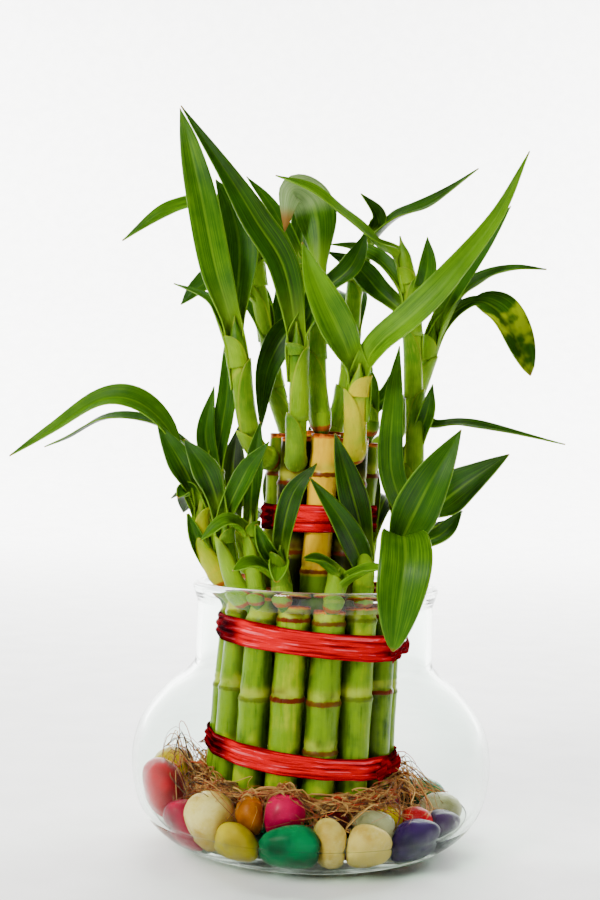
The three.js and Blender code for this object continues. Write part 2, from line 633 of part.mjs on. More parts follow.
// The inner canes' shoots, one list for each cane from the front round by the right.
const INNER_SHOOTS = [
  [
    {
      stem: [[1, -11, 121], [-1, -9.5, 142], [-2, -7, 164], [-2, -5, 176]],
      leaves: [
        {
          line: [[-2, -5, 172], [-2, -3, 187], [-4.5, -3, 197.5], [-10.5, -7, 199.5], [-12.5, -10, 187]],
          width: 12.5,
          face: TO_BACK,
        },
        { line: [[-2, -6, 168], [8, -3, 178], [13, 3, 190]], width: 7, face: TO_FRONT },
      ],
    },
  ],
  [
    {
      stem: [[10, -9.5, 115], [10.5, -15, 124], [10.5, -18, 136], [11, -19, 147]],
      radius: [3.3, 3],
      leaves: [
        {
          line: [[11, -19, 143], [7, -22.5, 151], [2, -25.5, 160], [-3, -27, 170], [-7, -26, 181]],
          width: 10.5,
          face: TO_FRONT,
        },
        {
          line: [
            [11, -19, 143], [16, -23.5, 152], [26, -26.5, 161],
            [36, -26, 172], [50, -21, 191], [60, -15, 212],
          ],
          width: 9,
          face: [-0.4, -1, 0.4],
        },
      ],
    },
  ],
  [
    {
      stem: [[14, -0.5, 121], [15.5, -3, 130], [15.5, -3, 137]],
      leaves: [
        { line: [[15.5, -3, 133], [15, -6, 140], [14, -6.5, 147]], width: 5.5, face: TO_FRONT },
        { line: [[15.5, -3, 134], [21, 3, 140], [24, 3, 150]], width: 5, face: TO_FRONT },
      ],
    },
  ],
  [
    {
      stem: [[11, 9, 119], [23, 10, 126], [30, 9, 140], [33.5, 8, 152], [35.5, 7, 163]],
      leaves: [
        {
          line: [[35.5, 7, 159], [41.5, 3, 170], [50, 1, 176], [59, -3, 178.5], [68, -5, 178.5]],
          width: 7,
          face: [0, -0.6, 1],
        },
        {
          line: [[35.5, 7, 158], [40, 6, 165], [47, 4, 169], [53, 2, 167], [58.5, 0, 160], [64.5, -2, 146]],
          width: 14,
          face: [0.4, -1, 0.6],
          stalk: 0.4,
          blunt: 0.6,
        },
        { line: [[35.5, 7, 161], [42, -1, 175], [49, -6, 186], [56, -8, 197]], width: 5.5, face: TO_FRONT },
        {
          line: [[28, 9.5, 134], [36, 4, 130], [44, 1, 130.5], [55, -2, 129], [75, -6, 125]],
          width: 6,
          face: [0, -0.5, 1],
        },
      ],
    },
  ],
  [
    {
      stem: [[2, 13, 121], [8, 17, 140], [10, 18, 168], [13, 15.5, 190]],
      leaves: [
        {
          line: [[13, 15.5, 188], [22, 9, 195], [34, 5, 200], [47, 0, 210]],
          width: 9.5,
          face: [-0.2, -0.6, 1],
        },
        { line: [[13, 15.5, 187], [17, 12, 196], [11, 8, 203]], width: 5, face: [0, -1, 0.6] },
        { line: [[10, 17, 160], [9, 32, 174], [6, 47, 168]], width: 11 },
        { line: [[8, 17, 140], [14, 25, 148], [16, 34, 146]], width: 9, face: TO_FRONT },
      ],
    },
  ],
  [
    {
      stem: [[-7, 9, 121], [-14, 11, 140], [-19, 9, 165], [-23, 5, 188]],
      leaves: [
        {
          line: [[-23, 5, 185], [-34, 2, 196.5], [-42, 0, 196], [-51, -3, 192], [-62, -6, 183.5]],
          width: 9,
          face: [0, -0.8, 1],
        },
        {
          line: [[-19.5, 8.5, 168], [-31, 3, 175], [-38, 0, 171], [-44, -2, 165]],
          width: 8.5,
          face: [0, -1, 0.8],
        },
        { line: [[-18, 9.5, 158], [-26, 24, 176], [-32, 42, 176]], width: 11 },
        { line: [[-16, 10.5, 150], [-13, 16, 166], [-14, 17, 180]], width: 7, face: TO_FRONT },
      ],
    },
  ],
  [
    {
      stem: [[-11, -1, 116], [-18, -6, 120], [-22, -10, 128], [-25, -11, 146], [-27, -11, 161]],
      radius: [3.3, 2.6],
      leaves: [
        {
          line: [[-27, -11.5, 157], [-32.5, -15, 174], [-37.3, -16, 195], [-41.5, -14, 211], [-45, -11, 223]],
          width: 9.3,
          face: TO_FRONT,
        },
        {
          line: [[-27, -10.5, 156], [-26, -6, 180], [-29, -4, 194], [-34, -6, 203]],
          width: 11,
          face: TO_FRONT,
        },
        {
          line: [[-26.5, -11, 152], [-31, -9, 162], [-36, -7, 167], [-46, -5, 171]],
          width: 3.5,
          face: [0, -1, 1],
        },
      ],
    },
  ],
  [
    {
      stem: [[-7.5, -10, 115], [-7, -15.5, 121], [-7, -17, 138], [-8, -17, 159]],
      radius: [3.1, 2.5],
      leaves: [
        {
          line: [[-8, -17, 155], [-12.3, -20, 174.5], [-21, -21.5, 188], [-30, -21, 202], [-44, -18.5, 221.8]],
          width: 9,
          face: TO_FRONT,
        },
        { line: [[-8, -17, 154], [-3.5, -17, 164], [-4, -15, 173]], width: 6, face: TO_FRONT },
      ],
    },
  ],
];

const CENTRE_SHOOTS = [
  {
    stem: [[1, 2, 122], [-3, 6, 146], [-6, 8, 170], [-8, 8, 184]],
    leaves: [
      { line: [[-8, 8, 181], [-16, 5, 196], [-25, 2, 206]], width: 4.5, face: TO_FRONT },
      { line: [[-8, 8, 180], [-6, 17, 200], [-8, 27, 212]], width: 9, face: TO_FRONT },
      {
        line: [[-5, 7.5, 163], [-11, 4, 158], [-17, 3, 145], [-18.5, 2, 127]],
        width: 9,
        face: [0, -1, 0.6],
      },
    ],
  },
];

const SHOOT_RADIUS = [3, 2.1]; // at the foot and at the tip

function leafyCane(cane, shoots) {
  const pieces = [solidOf(caneGeometry(cane))];
  for (const { stem, leaves, radius = SHOOT_RADIUS } of shoots) {
    pieces.push(stemSolid(stem, ...radius, 5, Math.max(3, stem.length)));
    pieces.push(...leaves.map(leafSolid));
  }
  return geometryOf(fuse(pieces));
}

const bamboo = () => finish(0x6f9a22, 0.45);
const OUTER_NODES = [47, 70.5]; // heights of the rings round an outer cane

OUTER_TOPS.forEach((top, k) => {
  const cane = {
    azimuth: outerAzimuth(k),
    ring: OUTER_RING_RADIUS,
    radius: OUTER_CANE_RADIUS,
    top,
    nodes: k === 0 ? [33, ...OUTER_NODES] : OUTER_NODES.map((height) => height + (k % 3) * 0.8),
    stance: OUTER_STANCE,
  };
  const number = String(k + 1).padStart(2, '0');
  addMesh(`cane_outer_${number}`, leafyCane(cane, OUTER_SHOOTS[k]), bamboo());
});

for (let k = 0; k < INNER_CANES; k += 1) {
  const cane = {
    azimuth: innerAzimuth(k),
    ring: INNER_RING_RADIUS,
    radius: INNER_CANE_RADIUS,
    top: INNER_TOP - (k % 3),
    nodes: k % 2 === 0 ? [84.6, 113.5] : [90, 111],
    stance: INNER_STANCE,
  };
  addMesh(`cane_inner_${k + 1}`, leafyCane(cane, INNER_SHOOTS[k]), bamboo());
}

const centreCane = {
  azimuth: 0,
  ring: 0,
  radius: CENTRE_CANE_RADIUS,
  top: INNER_TOP + 1,
  nodes: [90],
  stance: INNER_STANCE,
};
addMesh('cane_centre', leafyCane(centreCane, CENTRE_SHOOTS), bamboo());

// Ribbons: bands with a gathered outer face, tied round the tiers

const RIBBONS = [
  { name: 'ribbon_lower', height: 29.7, tilt: -0.1, wide: 6.5, outer: true, knot: -32 },
  { name: 'ribbon_middle', height: 65, tilt: -0.09, wide: 7.6, outer: true, knot: -26 },
  { name: 'ribbon_upper', height: 100.6, tilt: 0, wide: 8, outer: false, knot: -60 },
];
const RIBBON_SIDES = { outer: 2 * OUTER_CANES, inner: 2 * INNER_CANES };

function ribbonSolid({ height, tilt, wide, outer, knot }) {
  const sides = outer ? RIBBON_SIDES.outer : RIBBON_SIDES.inner;
  const canes = outer ? OUTER_RING_RADIUS + OUTER_CANE_RADIUS : INNER_RING_RADIUS + INNER_CANE_RADIUS;
  const inner = (canes + GAP) / Math.cos(Math.PI / sides);
  const folds = [0.6, 1.2, 0.75, 1.1]; // share of the thickness up the outer face
  const face = folds.map((share, i) => [
    inner + RIBBON_THICKNESS * share,
    wide * (i / (folds.length - 1) - 0.5),
  ]);
  const profile = [[inner, -wide / 2], ...face, [inner, wide / 2], [inner, -wide / 2]];
  const points = profile.map((p) => new THREE.Vector2(...p));
  const band = new THREE.LatheGeometry(points, sides, Math.PI / sides).rotateX(Math.PI / 2);
  const tie = new THREE.IcosahedronGeometry(1, 0).scale(1.5, 2.7, wide * 0.45);
  tie.translate(inner + RIBBON_THICKNESS, 0, 0).rotateZ(rad(knot));
  const place = (p) => {
    p.z += height + tilt * p.x;
    leaning(outer ? OUTER_STANCE : INNER_STANCE)(p);
  };
  const tails = [-1, 1].map((side) => {
    const line = [
      [inner + 1, 0, 0],
      [inner + 2.4, side * 3.4, side * 0.6],
      [inner + 1.9, side * 7, side * 1.8],
    ].map((p) => vec(...p).applyAxisAngle(UP, rad(knot)).toArray());
    const facing = vec(1, 0, 0).applyAxisAngle(UP, rad(knot)).toArray();
    return stripGeometry(line, 3.4, facing);
  });
  return fuse([band, tie, ...tails].map((shape) => solidOf(moveVertices(shape, place))));
}

// A flat strip of even width along a line, looking one way.
function stripGeometry(line, width, facing) {
  const curve = smooth(line);
  const strip = new THREE.BoxGeometry(width, 1, BLADE_THICKNESS, 1, 3, 1);
  return moveVertices(strip, (p) => {
    const { at, across, out } = frameOn(curve, p.y + 0.5, vec(...facing));
    const [x, z] = [p.x, p.z];
    p.copy(at).addScaledVector(across, x).addScaledVector(out, z);
  });
}

for (const ribbon of RIBBONS) {
  addMesh(ribbon.name, geometryOf(ribbonSolid(ribbon)), finish(0xd0101c, 0.35));
}

// Roots: a collar round the canes' feet that lies on the pebbles, with strands out of it

const ROOT_RING_RADIUS = 30.95;
const ROOT_RING_THICKNESS = 1.1;
const ROOT_STATIONS = 40;
const STRAND_RADIUS = 0.5;
const STRANDS = 32;

function rootRing() {
  const ring = new THREE.TorusGeometry(
    ROOT_RING_RADIUS,
    ROOT_RING_THICKNESS,
    5,
    ROOT_STATIONS,
  );
  return moveVertices(ring, (p) => {
    p.z += ringHeight(Math.atan2(p.y, p.x));
    leaning(OUTER_STANCE)(p);
  });
}

const ringHeights = Array.from({ length: ROOT_STATIONS }, (_, i) => {
  const angle = (i / ROOT_STATIONS) * 2 * Math.PI;
  const x = FOOT_SHIFT + ROOT_RING_RADIUS * Math.cos(angle);
  const top = topNear(x, ROOT_RING_RADIUS * Math.sin(angle), 2);
  return Math.max(top, FOOT_HEIGHT) + GAP + ROOT_RING_THICKNESS;
});

// Height of the collar's middle at an angle: the most that is needed at a station or its neighbours.
function ringHeight(angle) {
  const turn = THREE.MathUtils.euclideanModulo(angle / (2 * Math.PI), 1);
  const station = Math.round(turn * ROOT_STATIONS);
  const near = [-1, 0, 1].map((step) => ringHeights[(station + step + ROOT_STATIONS) % ROOT_STATIONS]);
  return Math.max(...near);
}

// A repeatable stream of numbers from 0 to 1.
function seeded(seed) {
  let state = seed;
  return () => {
    state = (state * 1664525 + 1013904223) % 4294967296;
    return state / 4294967296;
  };
}

// A strand that leaves the collar at an angle and runs outward over the pebbles.
function strandPoints(angle, length, drift, lift) {
  const points = [0, 1, 2, 3].map((step) => {
    const share = step / 3;
    const turn = angle + drift * share;
    const out = ROOT_RING_RADIUS + length * share;
    const x = FOOT_SHIFT + out * Math.cos(turn);
    const y = out * Math.sin(turn);
    const hump = lift * Math.sin(Math.PI * share * 0.8);
    return [x, y, Math.max(topNear(x, y, 2.4), FOOT_HEIGHT - 6) + GAP + STRAND_RADIUS + 0.5 + hump];
  });
  points[0][2] = ringHeight(angle);
  return points;
}

function rootSolid() {
  const random = seeded(7);
  const strands = Array.from({ length: STRANDS }, (_, i) => {
    const angle = ((i + random() * 0.8) / STRANDS) * 2 * Math.PI;
    const length = 5 + 8 * random();
    const drift = (random() - 0.5) * 0.9;
    return stemSolid(
      strandPoints(angle, length, drift, 1 + 7 * random() ** 2),
      STRAND_RADIUS,
      STRAND_RADIUS * 0.7,
      3,
      3,
    );
  });
  return fuse([solidOf(rootRing()), ...strands]);
}

addMesh('roots', geometryOf(rootSolid()), finish(0xa5733c, 0.9));

export default part;
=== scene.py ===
"""The looks of a lucky bamboo tower in a round glass bowl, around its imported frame.

Metres, +Z up, origin at the middle of the bowl's flat underside, front towards -Y.
Sizes that are written in millimetres go through MM. The part's own driving sizes keep their names.
"""

import math
import random
from collections import namedtuple

import bpy
import numpy as np
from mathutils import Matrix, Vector
from mathutils.bvhtree import BVHTree


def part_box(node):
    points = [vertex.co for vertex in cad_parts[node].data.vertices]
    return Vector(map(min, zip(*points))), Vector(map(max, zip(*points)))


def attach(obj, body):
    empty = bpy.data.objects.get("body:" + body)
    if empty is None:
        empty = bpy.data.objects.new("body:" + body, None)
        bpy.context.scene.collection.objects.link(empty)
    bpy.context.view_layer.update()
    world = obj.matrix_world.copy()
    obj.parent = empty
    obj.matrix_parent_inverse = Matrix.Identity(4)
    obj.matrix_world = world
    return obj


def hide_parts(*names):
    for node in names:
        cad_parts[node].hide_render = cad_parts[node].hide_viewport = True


MM = 0.001

# Camera

CAMERA_PLACE = (-0.0058, -0.4, 0.115)
CAMERA_LENS = 51.6
CAMERA_ROLL = math.radians(1.6)
SENSOR_WIDTH = 36
HORIZON_SHIFT = 20 / 900  # the horizon lies this share of the picture's height under its middle

camera_data = bpy.data.cameras.new("camera")
camera_data.lens = CAMERA_LENS
camera_data.sensor_width = SENSOR_WIDTH
camera_data.shift_y = HORIZON_SHIFT
camera = bpy.data.objects.new("camera", camera_data)
camera.location = CAMERA_PLACE
camera.rotation_euler = (math.pi / 2, -CAMERA_ROLL, 0)
bpy.context.scene.collection.objects.link(camera)
bpy.context.scene.camera = camera

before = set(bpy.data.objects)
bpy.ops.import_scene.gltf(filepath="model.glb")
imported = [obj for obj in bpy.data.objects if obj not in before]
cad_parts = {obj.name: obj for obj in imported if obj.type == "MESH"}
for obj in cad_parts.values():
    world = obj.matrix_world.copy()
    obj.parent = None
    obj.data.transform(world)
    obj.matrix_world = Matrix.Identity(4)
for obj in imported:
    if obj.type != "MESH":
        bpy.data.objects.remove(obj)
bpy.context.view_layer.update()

# Driving sizes, in millimetres, as in the part

BOWL_HEIGHT = 80.4
BOWL_WALL = 1.9
BOWL_BASE_RADIUS = 33
BOWL_BELLY_RADIUS = 55
BOWL_NECK_RADIUS = 36.4
BOWL_LIP_RADIUS = 37.8
BOWL_CREASE_HEIGHT = 55.8
WATER_LEVEL = 10.6
OUTER_CANES = 14
OUTER_RING_RADIUS = 24.3
OUTER_CANE_RADIUS = 5.1
OUTER_LEAN = 0.045
OUTER_TAPER = 0.001
INNER_CANES = 8
INNER_RING_RADIUS = 12.5
INNER_CANE_RADIUS = 4.6
INNER_LEAN = 0.05
CENTRE_CANE_RADIUS = 7.65
INNER_TOP = 126
FOOT_HEIGHT = 19
FOOT_SHIFT = -3.6

# Tiers: the nodes of a ring of canes, the first one's azimuth, the ring's radius and each cane's, and
# how much the ring leans to the right and narrows for each millimetre of height

Tier = namedtuple("Tier", "nodes first_azimuth ring radius lean taper")
OUTER = Tier(
    [f"cane_outer_{k + 1:02d}" for k in range(OUTER_CANES)],
    -90 + 180 / OUTER_CANES, OUTER_RING_RADIUS, OUTER_CANE_RADIUS, OUTER_LEAN, OUTER_TAPER,
)
INNER = Tier(
    [f"cane_inner_{k + 1}" for k in range(INNER_CANES)],
    -90, INNER_RING_RADIUS, INNER_CANE_RADIUS, INNER_LEAN, 0,
)
CENTRE = Tier(["cane_centre"], 0, 0, CENTRE_CANE_RADIUS, INNER_LEAN, 0)

# Lines and meshes

AXIS_RADIUS = 0.02  # of the small ring that ends a turned shape at its axis, in millimetres
ROUND_FROM = (0, 1, 0.1)  # angles round a line count from square to this direction


def stand(points, tier):
    """Moves points round the upright axis to where they are on the leaning, tapering bundle."""
    rise = points[..., 2] - FOOT_HEIGHT
    points[..., :2] *= (1 - tier.taper * rise)[..., None]
    points[..., 0] += FOOT_SHIFT + tier.lean * rise


def unit(rows):
    """Each row of an array at length 1."""
    return rows / np.linalg.norm(rows, axis=-1, keepdims=True)


def ease(value, low, high):
    """A smooth rise from 0 at low to 1 at high."""
    share = np.clip((np.asarray(value, float) - low) / (high - low), 0, 1)
    return share * share * (3 - 2 * share)


def hump(value, middle, reach):
    """1 at middle, and a smooth fall to about a third at reach from it."""
    return np.exp(-(((value - middle) / reach) ** 2))


def round_turn(sides):
    """Angles evenly round a full turn."""
    return np.linspace(0, 2 * math.pi, sides, endpoint=False)


def run_length(points):
    """Length of the straight runs between points."""
    return np.linalg.norm(np.diff(points, axis=0), axis=1).sum()


def smooth_line(points, shares):
    """Places and directions on a smooth line through points, at shares of its spans."""
    line = np.array(points, float)
    line = np.vstack([2 * line[0] - line[1], line, 2 * line[-1] - line[-2]])
    spans = len(points) - 1
    reach = np.clip(shares, 0, 1) * spans
    span = np.minimum(reach.astype(int), spans - 1)
    u = (reach - span)[:, None]
    before, start, end, after = (line[span + step] for step in range(4))
    leave = (end - before) / 2
    arrive = (after - start) / 2
    places = (
        (2 * u**3 - 3 * u**2 + 1) * start
        + (u**3 - 2 * u**2 + u) * leave
        + (3 * u**2 - 2 * u**3) * end
        + (u**3 - u**2) * arrive
    )
    directions = (
        (6 * u**2 - 6 * u) * (start - end)
        + (3 * u**2 - 4 * u + 1) * leave
        + (3 * u**2 - 2 * u) * arrive
    )
    return places, unit(directions)


def axes_along(directions, facing):
    """The directions across a line and out of its face."""
    across = unit(np.cross(directions, np.array(facing, float)))
    return across, np.cross(across, directions)


def spokes_round(directions, turn):
    """Directions square to a line, at angles round it."""
    across, out = axes_along(directions, ROUND_FROM)
    return across[:, None] * np.cos(turn)[..., None] - out[:, None] * np.sin(turn)[..., None]


class Shape:
    """Grids of points, in millimetres, gathered into one mesh, with traits for its material."""

    def __init__(self, *traits):
        self.places = []
        self.faces = []
        self.traits = {trait: [] for trait in traits}
        self.count = 0

    def grid(self, places, wrapped=True, capped=False, looped=False, **traits):
        """Adds rows of points. wrapped joins each row's ends, capped closes the first and the last
        row, and looped joins the last row to the first."""
        rows, columns = places.shape[:2]
        number = self.count + np.arange(rows * columns).reshape(rows, columns)
        if wrapped:
            number = np.hstack([number, number[:, :1]])
        if looped:
            number = np.vstack([number, number[:1]])
        corners = (number[:-1, :-1], number[:-1, 1:], number[1:, 1:], number[1:, :-1])
        self.faces += np.stack(corners, -1).reshape(-1, 4).tolist()
        if capped:
            self.faces.append(number[0, :columns][::-1].tolist())
            self.faces.append(number[-1, :columns].tolist())
        self.places.append(places.reshape(-1, 3))
        for trait, kept in self.traits.items():
            kept.append(np.broadcast_to(traits.get(trait, 0.0), (rows, columns)).reshape(-1))
        self.count += rows * columns

    def piece(self, name, material, nodes, slot):
        """The mesh as a piece of the object that stands for CAD nodes."""
        mesh = bpy.data.meshes.new(name)
        mesh.from_pydata((np.vstack(self.places) * MM).tolist(), [], self.faces)
        for trait, kept in self.traits.items():
            layer = mesh.attributes.new(trait, "FLOAT", "POINT")
            layer.data.foreach_set("value", np.concatenate(kept).astype(np.float32))
        mesh.materials.append(material)
        mesh.polygons.foreach_set("use_smooth", [True] * len(mesh.polygons))
        return dress(bpy.data.objects.new(name, mesh), nodes)


def dress(piece, nodes):
    """Links a piece to the scene, hangs it under the root body and hides the CAD nodes that it stands for.
    """
    bpy.context.scene.collection.objects.link(piece)
    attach(piece, "root")
    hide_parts(*nodes)
    return piece


def thicken(piece, thickness):
    """Gives a piece that is one sheet of faces its thickness, half to each side."""
    solid = piece.modifiers.new("thickness", "SOLIDIFY")
    solid.thickness = thickness * MM
    solid.offset = 0


def lathe(profile, sides=160):
    """Rings of points about +Z from (radius, height) pairs."""
    profile = np.array(profile, float)
    turn = round_turn(sides)
    x = profile[:, :1] * np.cos(turn)
    y = profile[:, :1] * np.sin(turn)
    return np.stack([x, y, np.broadcast_to(profile[:, 1:], x.shape)], -1)


def tube(points, radii, sides, steps):
    """Rings of points round a smooth line, with one radius or one for each ring."""
    places, directions = smooth_line(points, np.linspace(0, 1, steps))
    radii = np.broadcast_to(np.asarray(radii, float), steps)[:, None, None]
    return places[:, None] + radii * spokes_round(directions, round_turn(sides))


# Materials


class Paint:
    """A node tree under construction, with short ways to add its nodes."""

    def __init__(self, name):
        self.material = bpy.data.materials.new(name)
        self.material.use_nodes = True
        self.tree = self.material.node_tree
        self.tree.nodes.clear()
        self.output = self.tree.nodes.new("ShaderNodeOutputMaterial")

    def add(self, kind, **settings):
        node = self.tree.nodes.new("ShaderNode" + kind)
        for key, value in settings.items():
            setattr(node, key, value)
        return node

    def join(self, source, target):
        self.tree.links.new(source, target)

    def feed(self, socket, value):
        """Links value to a socket if it is one, and else sets it."""
        if isinstance(value, bpy.types.NodeSocket):
            self.join(value, socket)
        else:
            socket.default_value = value

    def trait(self, name):
        return self.add("Attribute", attribute_name=name).outputs["Fac"]

    def math(self, operation, first, second=0.0):
        node = self.add("Math", operation=operation)
        for socket, value in zip(node.inputs, (first, second)):
            self.feed(socket, value)
        return node.outputs[0]

    def plus(self, first, second):
        return self.math("ADD", first, second)

    def times(self, first, second):
        return self.math("MULTIPLY", first, second)

    def stir(self, value, noise, reach):
        """value, raised where a noise is over a half and lowered where it is under it."""
        return self.plus(value, self.times(self.math("SUBTRACT", noise, 0.5), reach))

    def span(self, value, low, high, start=0.0, end=1.0):
        """value's place between low and high, eased, as a number from start to end."""
        node = self.add("MapRange", interpolation_type="SMOOTHSTEP")
        self.feed(node.inputs["Value"], value)
        for socket, number in zip(("From Min", "From Max", "To Min", "To Max"), (low, high, start, end)):
            node.inputs[socket].default_value = number
        return node.outputs["Result"]

    def blend(self, share, first, second):
        node = self.add("Mix", data_type="RGBA")
        self.feed(node.inputs[0], share)
        for socket, colour in zip((node.inputs[6], node.inputs[7]), (first, second)):
            self.feed(socket, colour if isinstance(colour, bpy.types.NodeSocket) else shade(colour))
        return node.outputs[2]

    def cover(self, under, over, value, low, high, most=1.0):
        """One colour under another, which comes in as value goes from low to high."""
        return self.blend(self.span(value, low, high, 0.0, most), under, over)

    def vector(self, x, y, z):
        node = self.add("CombineXYZ")
        for socket, value in zip(node.inputs, (x, y, z)):
            self.feed(socket, value)
        return node.outputs[0]

    def place(self):
        """The point in the object's own frame, in metres."""
        return self.add("TexCoord").outputs["Object"]

    def noise(self, vector, scale, detail=3.0, rough=0.55):
        node = self.add("TexNoise")
        self.feed(node.inputs["Vector"], vector)
        node.inputs["Scale"].default_value = scale
        node.inputs["Detail"].default_value = detail
        node.inputs["Roughness"].default_value = rough
        return node.outputs["Fac"]

    def solid_noise(self, scale, detail=3.0, rough=0.55):
        """Noise that runs through the object in its own frame."""
        return self.noise(self.place(), scale, detail, rough)

    def bump(self, height, distance, strength=1.0):
        node = self.add("Bump")
        node.inputs["Distance"].default_value = distance
        node.inputs["Strength"].default_value = strength
        self.join(height, node.inputs["Height"])
        return node.outputs[0]

    def surface(self, colour, roughness, normal=None, **settings):
        """A Principled shader. settings are its own sockets, with _ for a space."""
        node = self.add("BsdfPrincipled")
        self.feed(node.inputs["Base Color"], colour)
        self.feed(node.inputs["Roughness"], roughness)
        if normal is not None:
            self.join(normal, node.inputs["Normal"])
        for key, value in settings.items():
            node.inputs[key.replace("_", " ")].default_value = value
        return node.outputs[0]

    def mix(self, share, first, second):
        node = self.add("MixShader")
        self.feed(node.inputs[0], share)
        self.join(first, node.inputs[1])
        self.join(second, node.inputs[2])
        return node.outputs[0]

    def done(self, shader):
        self.join(shader, self.output.inputs["Surface"])
        return self.material


COLOUR_DEPTH = 1.5  # above 1, a surface's own colour is deeper than it looks in strong light
LEAF_GLOW = 0.14  # share of a leaf's shading that is light let through
DIM_MIRROR = (0.12, 0.12, 0.12, 1.0)  # keeps the room's reflection off what stands in the bowl
FULL_MIRROR = (1.0, 1.0, 1.0, 1.0)
WALL_REFRACTION = 1.09  # under that of real glass, so that the pebbles stay clear
LIP_REFRACTION = 1.4
WATER_REFRACTION = 1.06


def shade(text):
    """A colour such as "8DB812", as it looks when lit, as the linear numbers that shaders take."""
    parts = [int(text[i : i + 2], 16) / 255 for i in (0, 2, 4)]
    linear = [c / 12.92 if c <= 0.04045 else ((c + 0.055) / 1.055) ** 2.4 for c in parts]
    return (*(c**COLOUR_DEPTH for c in linear), 1.0)


def leaf_material():
    """A waxy blade with parallel veins, a pale midrib and light that comes through."""
    paint = Paint("leaf")
    along, across, seed, pale = map(paint.trait, ("along", "across", "seed", "pale"))
    aside = paint.math("ABSOLUTE", across)
    streaks = paint.noise(paint.vector(paint.times(across, 9.0), along, seed), 3.0, 4.0)
    veins = paint.noise(paint.vector(paint.times(across, 26.0), paint.times(along, 0.6), seed), 2.0, 2.0)
    cloud = paint.solid_noise(90.0, 3.0)
    mottle = paint.solid_noise(420.0, 2.0)
    depth = paint.stir(paint.stir(paint.trait("tone"), streaks, 1.1), cloud, 0.5)
    green = paint.cover("182C06", "48780C", depth, 0.0, 0.5)
    green = paint.cover(green, "8AB412", depth, 0.45, 1.0)
    green = paint.cover(green, "A9CF3C", veins, 0.52, 0.75, 0.3)
    green = paint.cover(green, "2E5A0C", mottle, 0.66, 0.8, 0.25)
    rib = paint.times(paint.span(aside, 0.1, 0.02), paint.span(along, 1.0, 0.1, 0.05, 0.4))
    green = paint.blend(rib, green, "A9CC3C")
    green = paint.cover(green, "A9CC48", aside, 0.93, 1.0, 0.4)
    green = paint.cover(green, "A3C42C", along, 0.26, 0.02, 0.75)
    green = paint.cover(green, "B58A3C", along, 0.975, 1.0, 0.7)
    yellowing = paint.times(paint.trait("yellow"), paint.span(cloud, 0.48, 0.6))
    green = paint.blend(yellowing, green, "B4C41C")
    # painted highlight: a whitish glare over the upper part of a pale leaf, where its bent top catches the
    # light
    painted_glare = paint.times(pale, paint.span(along, 0.36, 0.5))
    painted_glare = paint.times(painted_glare, paint.span(streaks, 0.3, 0.7, 0.5, 0.95))
    green = paint.blend(painted_glare, green, "B4C896")
    green = paint.blend(paint.times(pale, paint.span(along, 0.84, 0.94)), green, "B08A4C")
    normal = paint.bump(paint.plus(veins, paint.times(streaks, 0.6)), 0.00012, 0.6)
    roughness = paint.span(streaks, 0.25, 0.75, 0.28, 0.46)
    skin = paint.surface(green, roughness, normal, Specular_IOR_Level=0.16)
    glow = paint.add("BsdfTranslucent")
    paint.join(paint.blend(0.55, green, "B4D81E"), glow.inputs["Color"])
    return paint.done(paint.mix(LEAF_GLOW, skin, glow.outputs[0]))


def stem_material():
    """Overlapping sheaths, light green to yellow, with pale edges and fine ribs."""
    paint = Paint("shoot_stem")
    along, around, seed = map(paint.trait, ("along", "across", "seed"))
    ribs = paint.noise(paint.vector(paint.times(around, 14.0), along, seed), 2.6, 3.0)
    cloud = paint.solid_noise(110.0, 3.0)
    rough = paint.solid_noise(700.0, 3.0)
    mellow = paint.stir(paint.trait("tone"), cloud, 0.6)
    colour = paint.cover("5C8A14", "9CBB22", mellow, 0.1, 0.55)
    colour = paint.cover(colour, "D8CC0C", mellow, 0.6, 1.0)
    colour = paint.cover(colour, "C2D24E", ribs, 0.5, 0.75, 0.4)
    colour = paint.cover(colour, "4F7C12", ribs, 0.42, 0.25, 0.4)
    colour = paint.cover(colour, "D2D05C", paint.trait("edge"), 0.3, 1.0, 0.3)
    colour = paint.cover(colour, "B86420", paint.stir(paint.trait("scar"), rough, 0.8), 0.4, 0.8, 0.9)
    roughness = paint.span(ribs, 0.3, 0.7, 0.3, 0.48)
    normal = paint.bump(ribs, 0.00015, 0.6)
    return paint.done(paint.surface(colour, roughness, normal, Specular_IOR_Level=0.14))


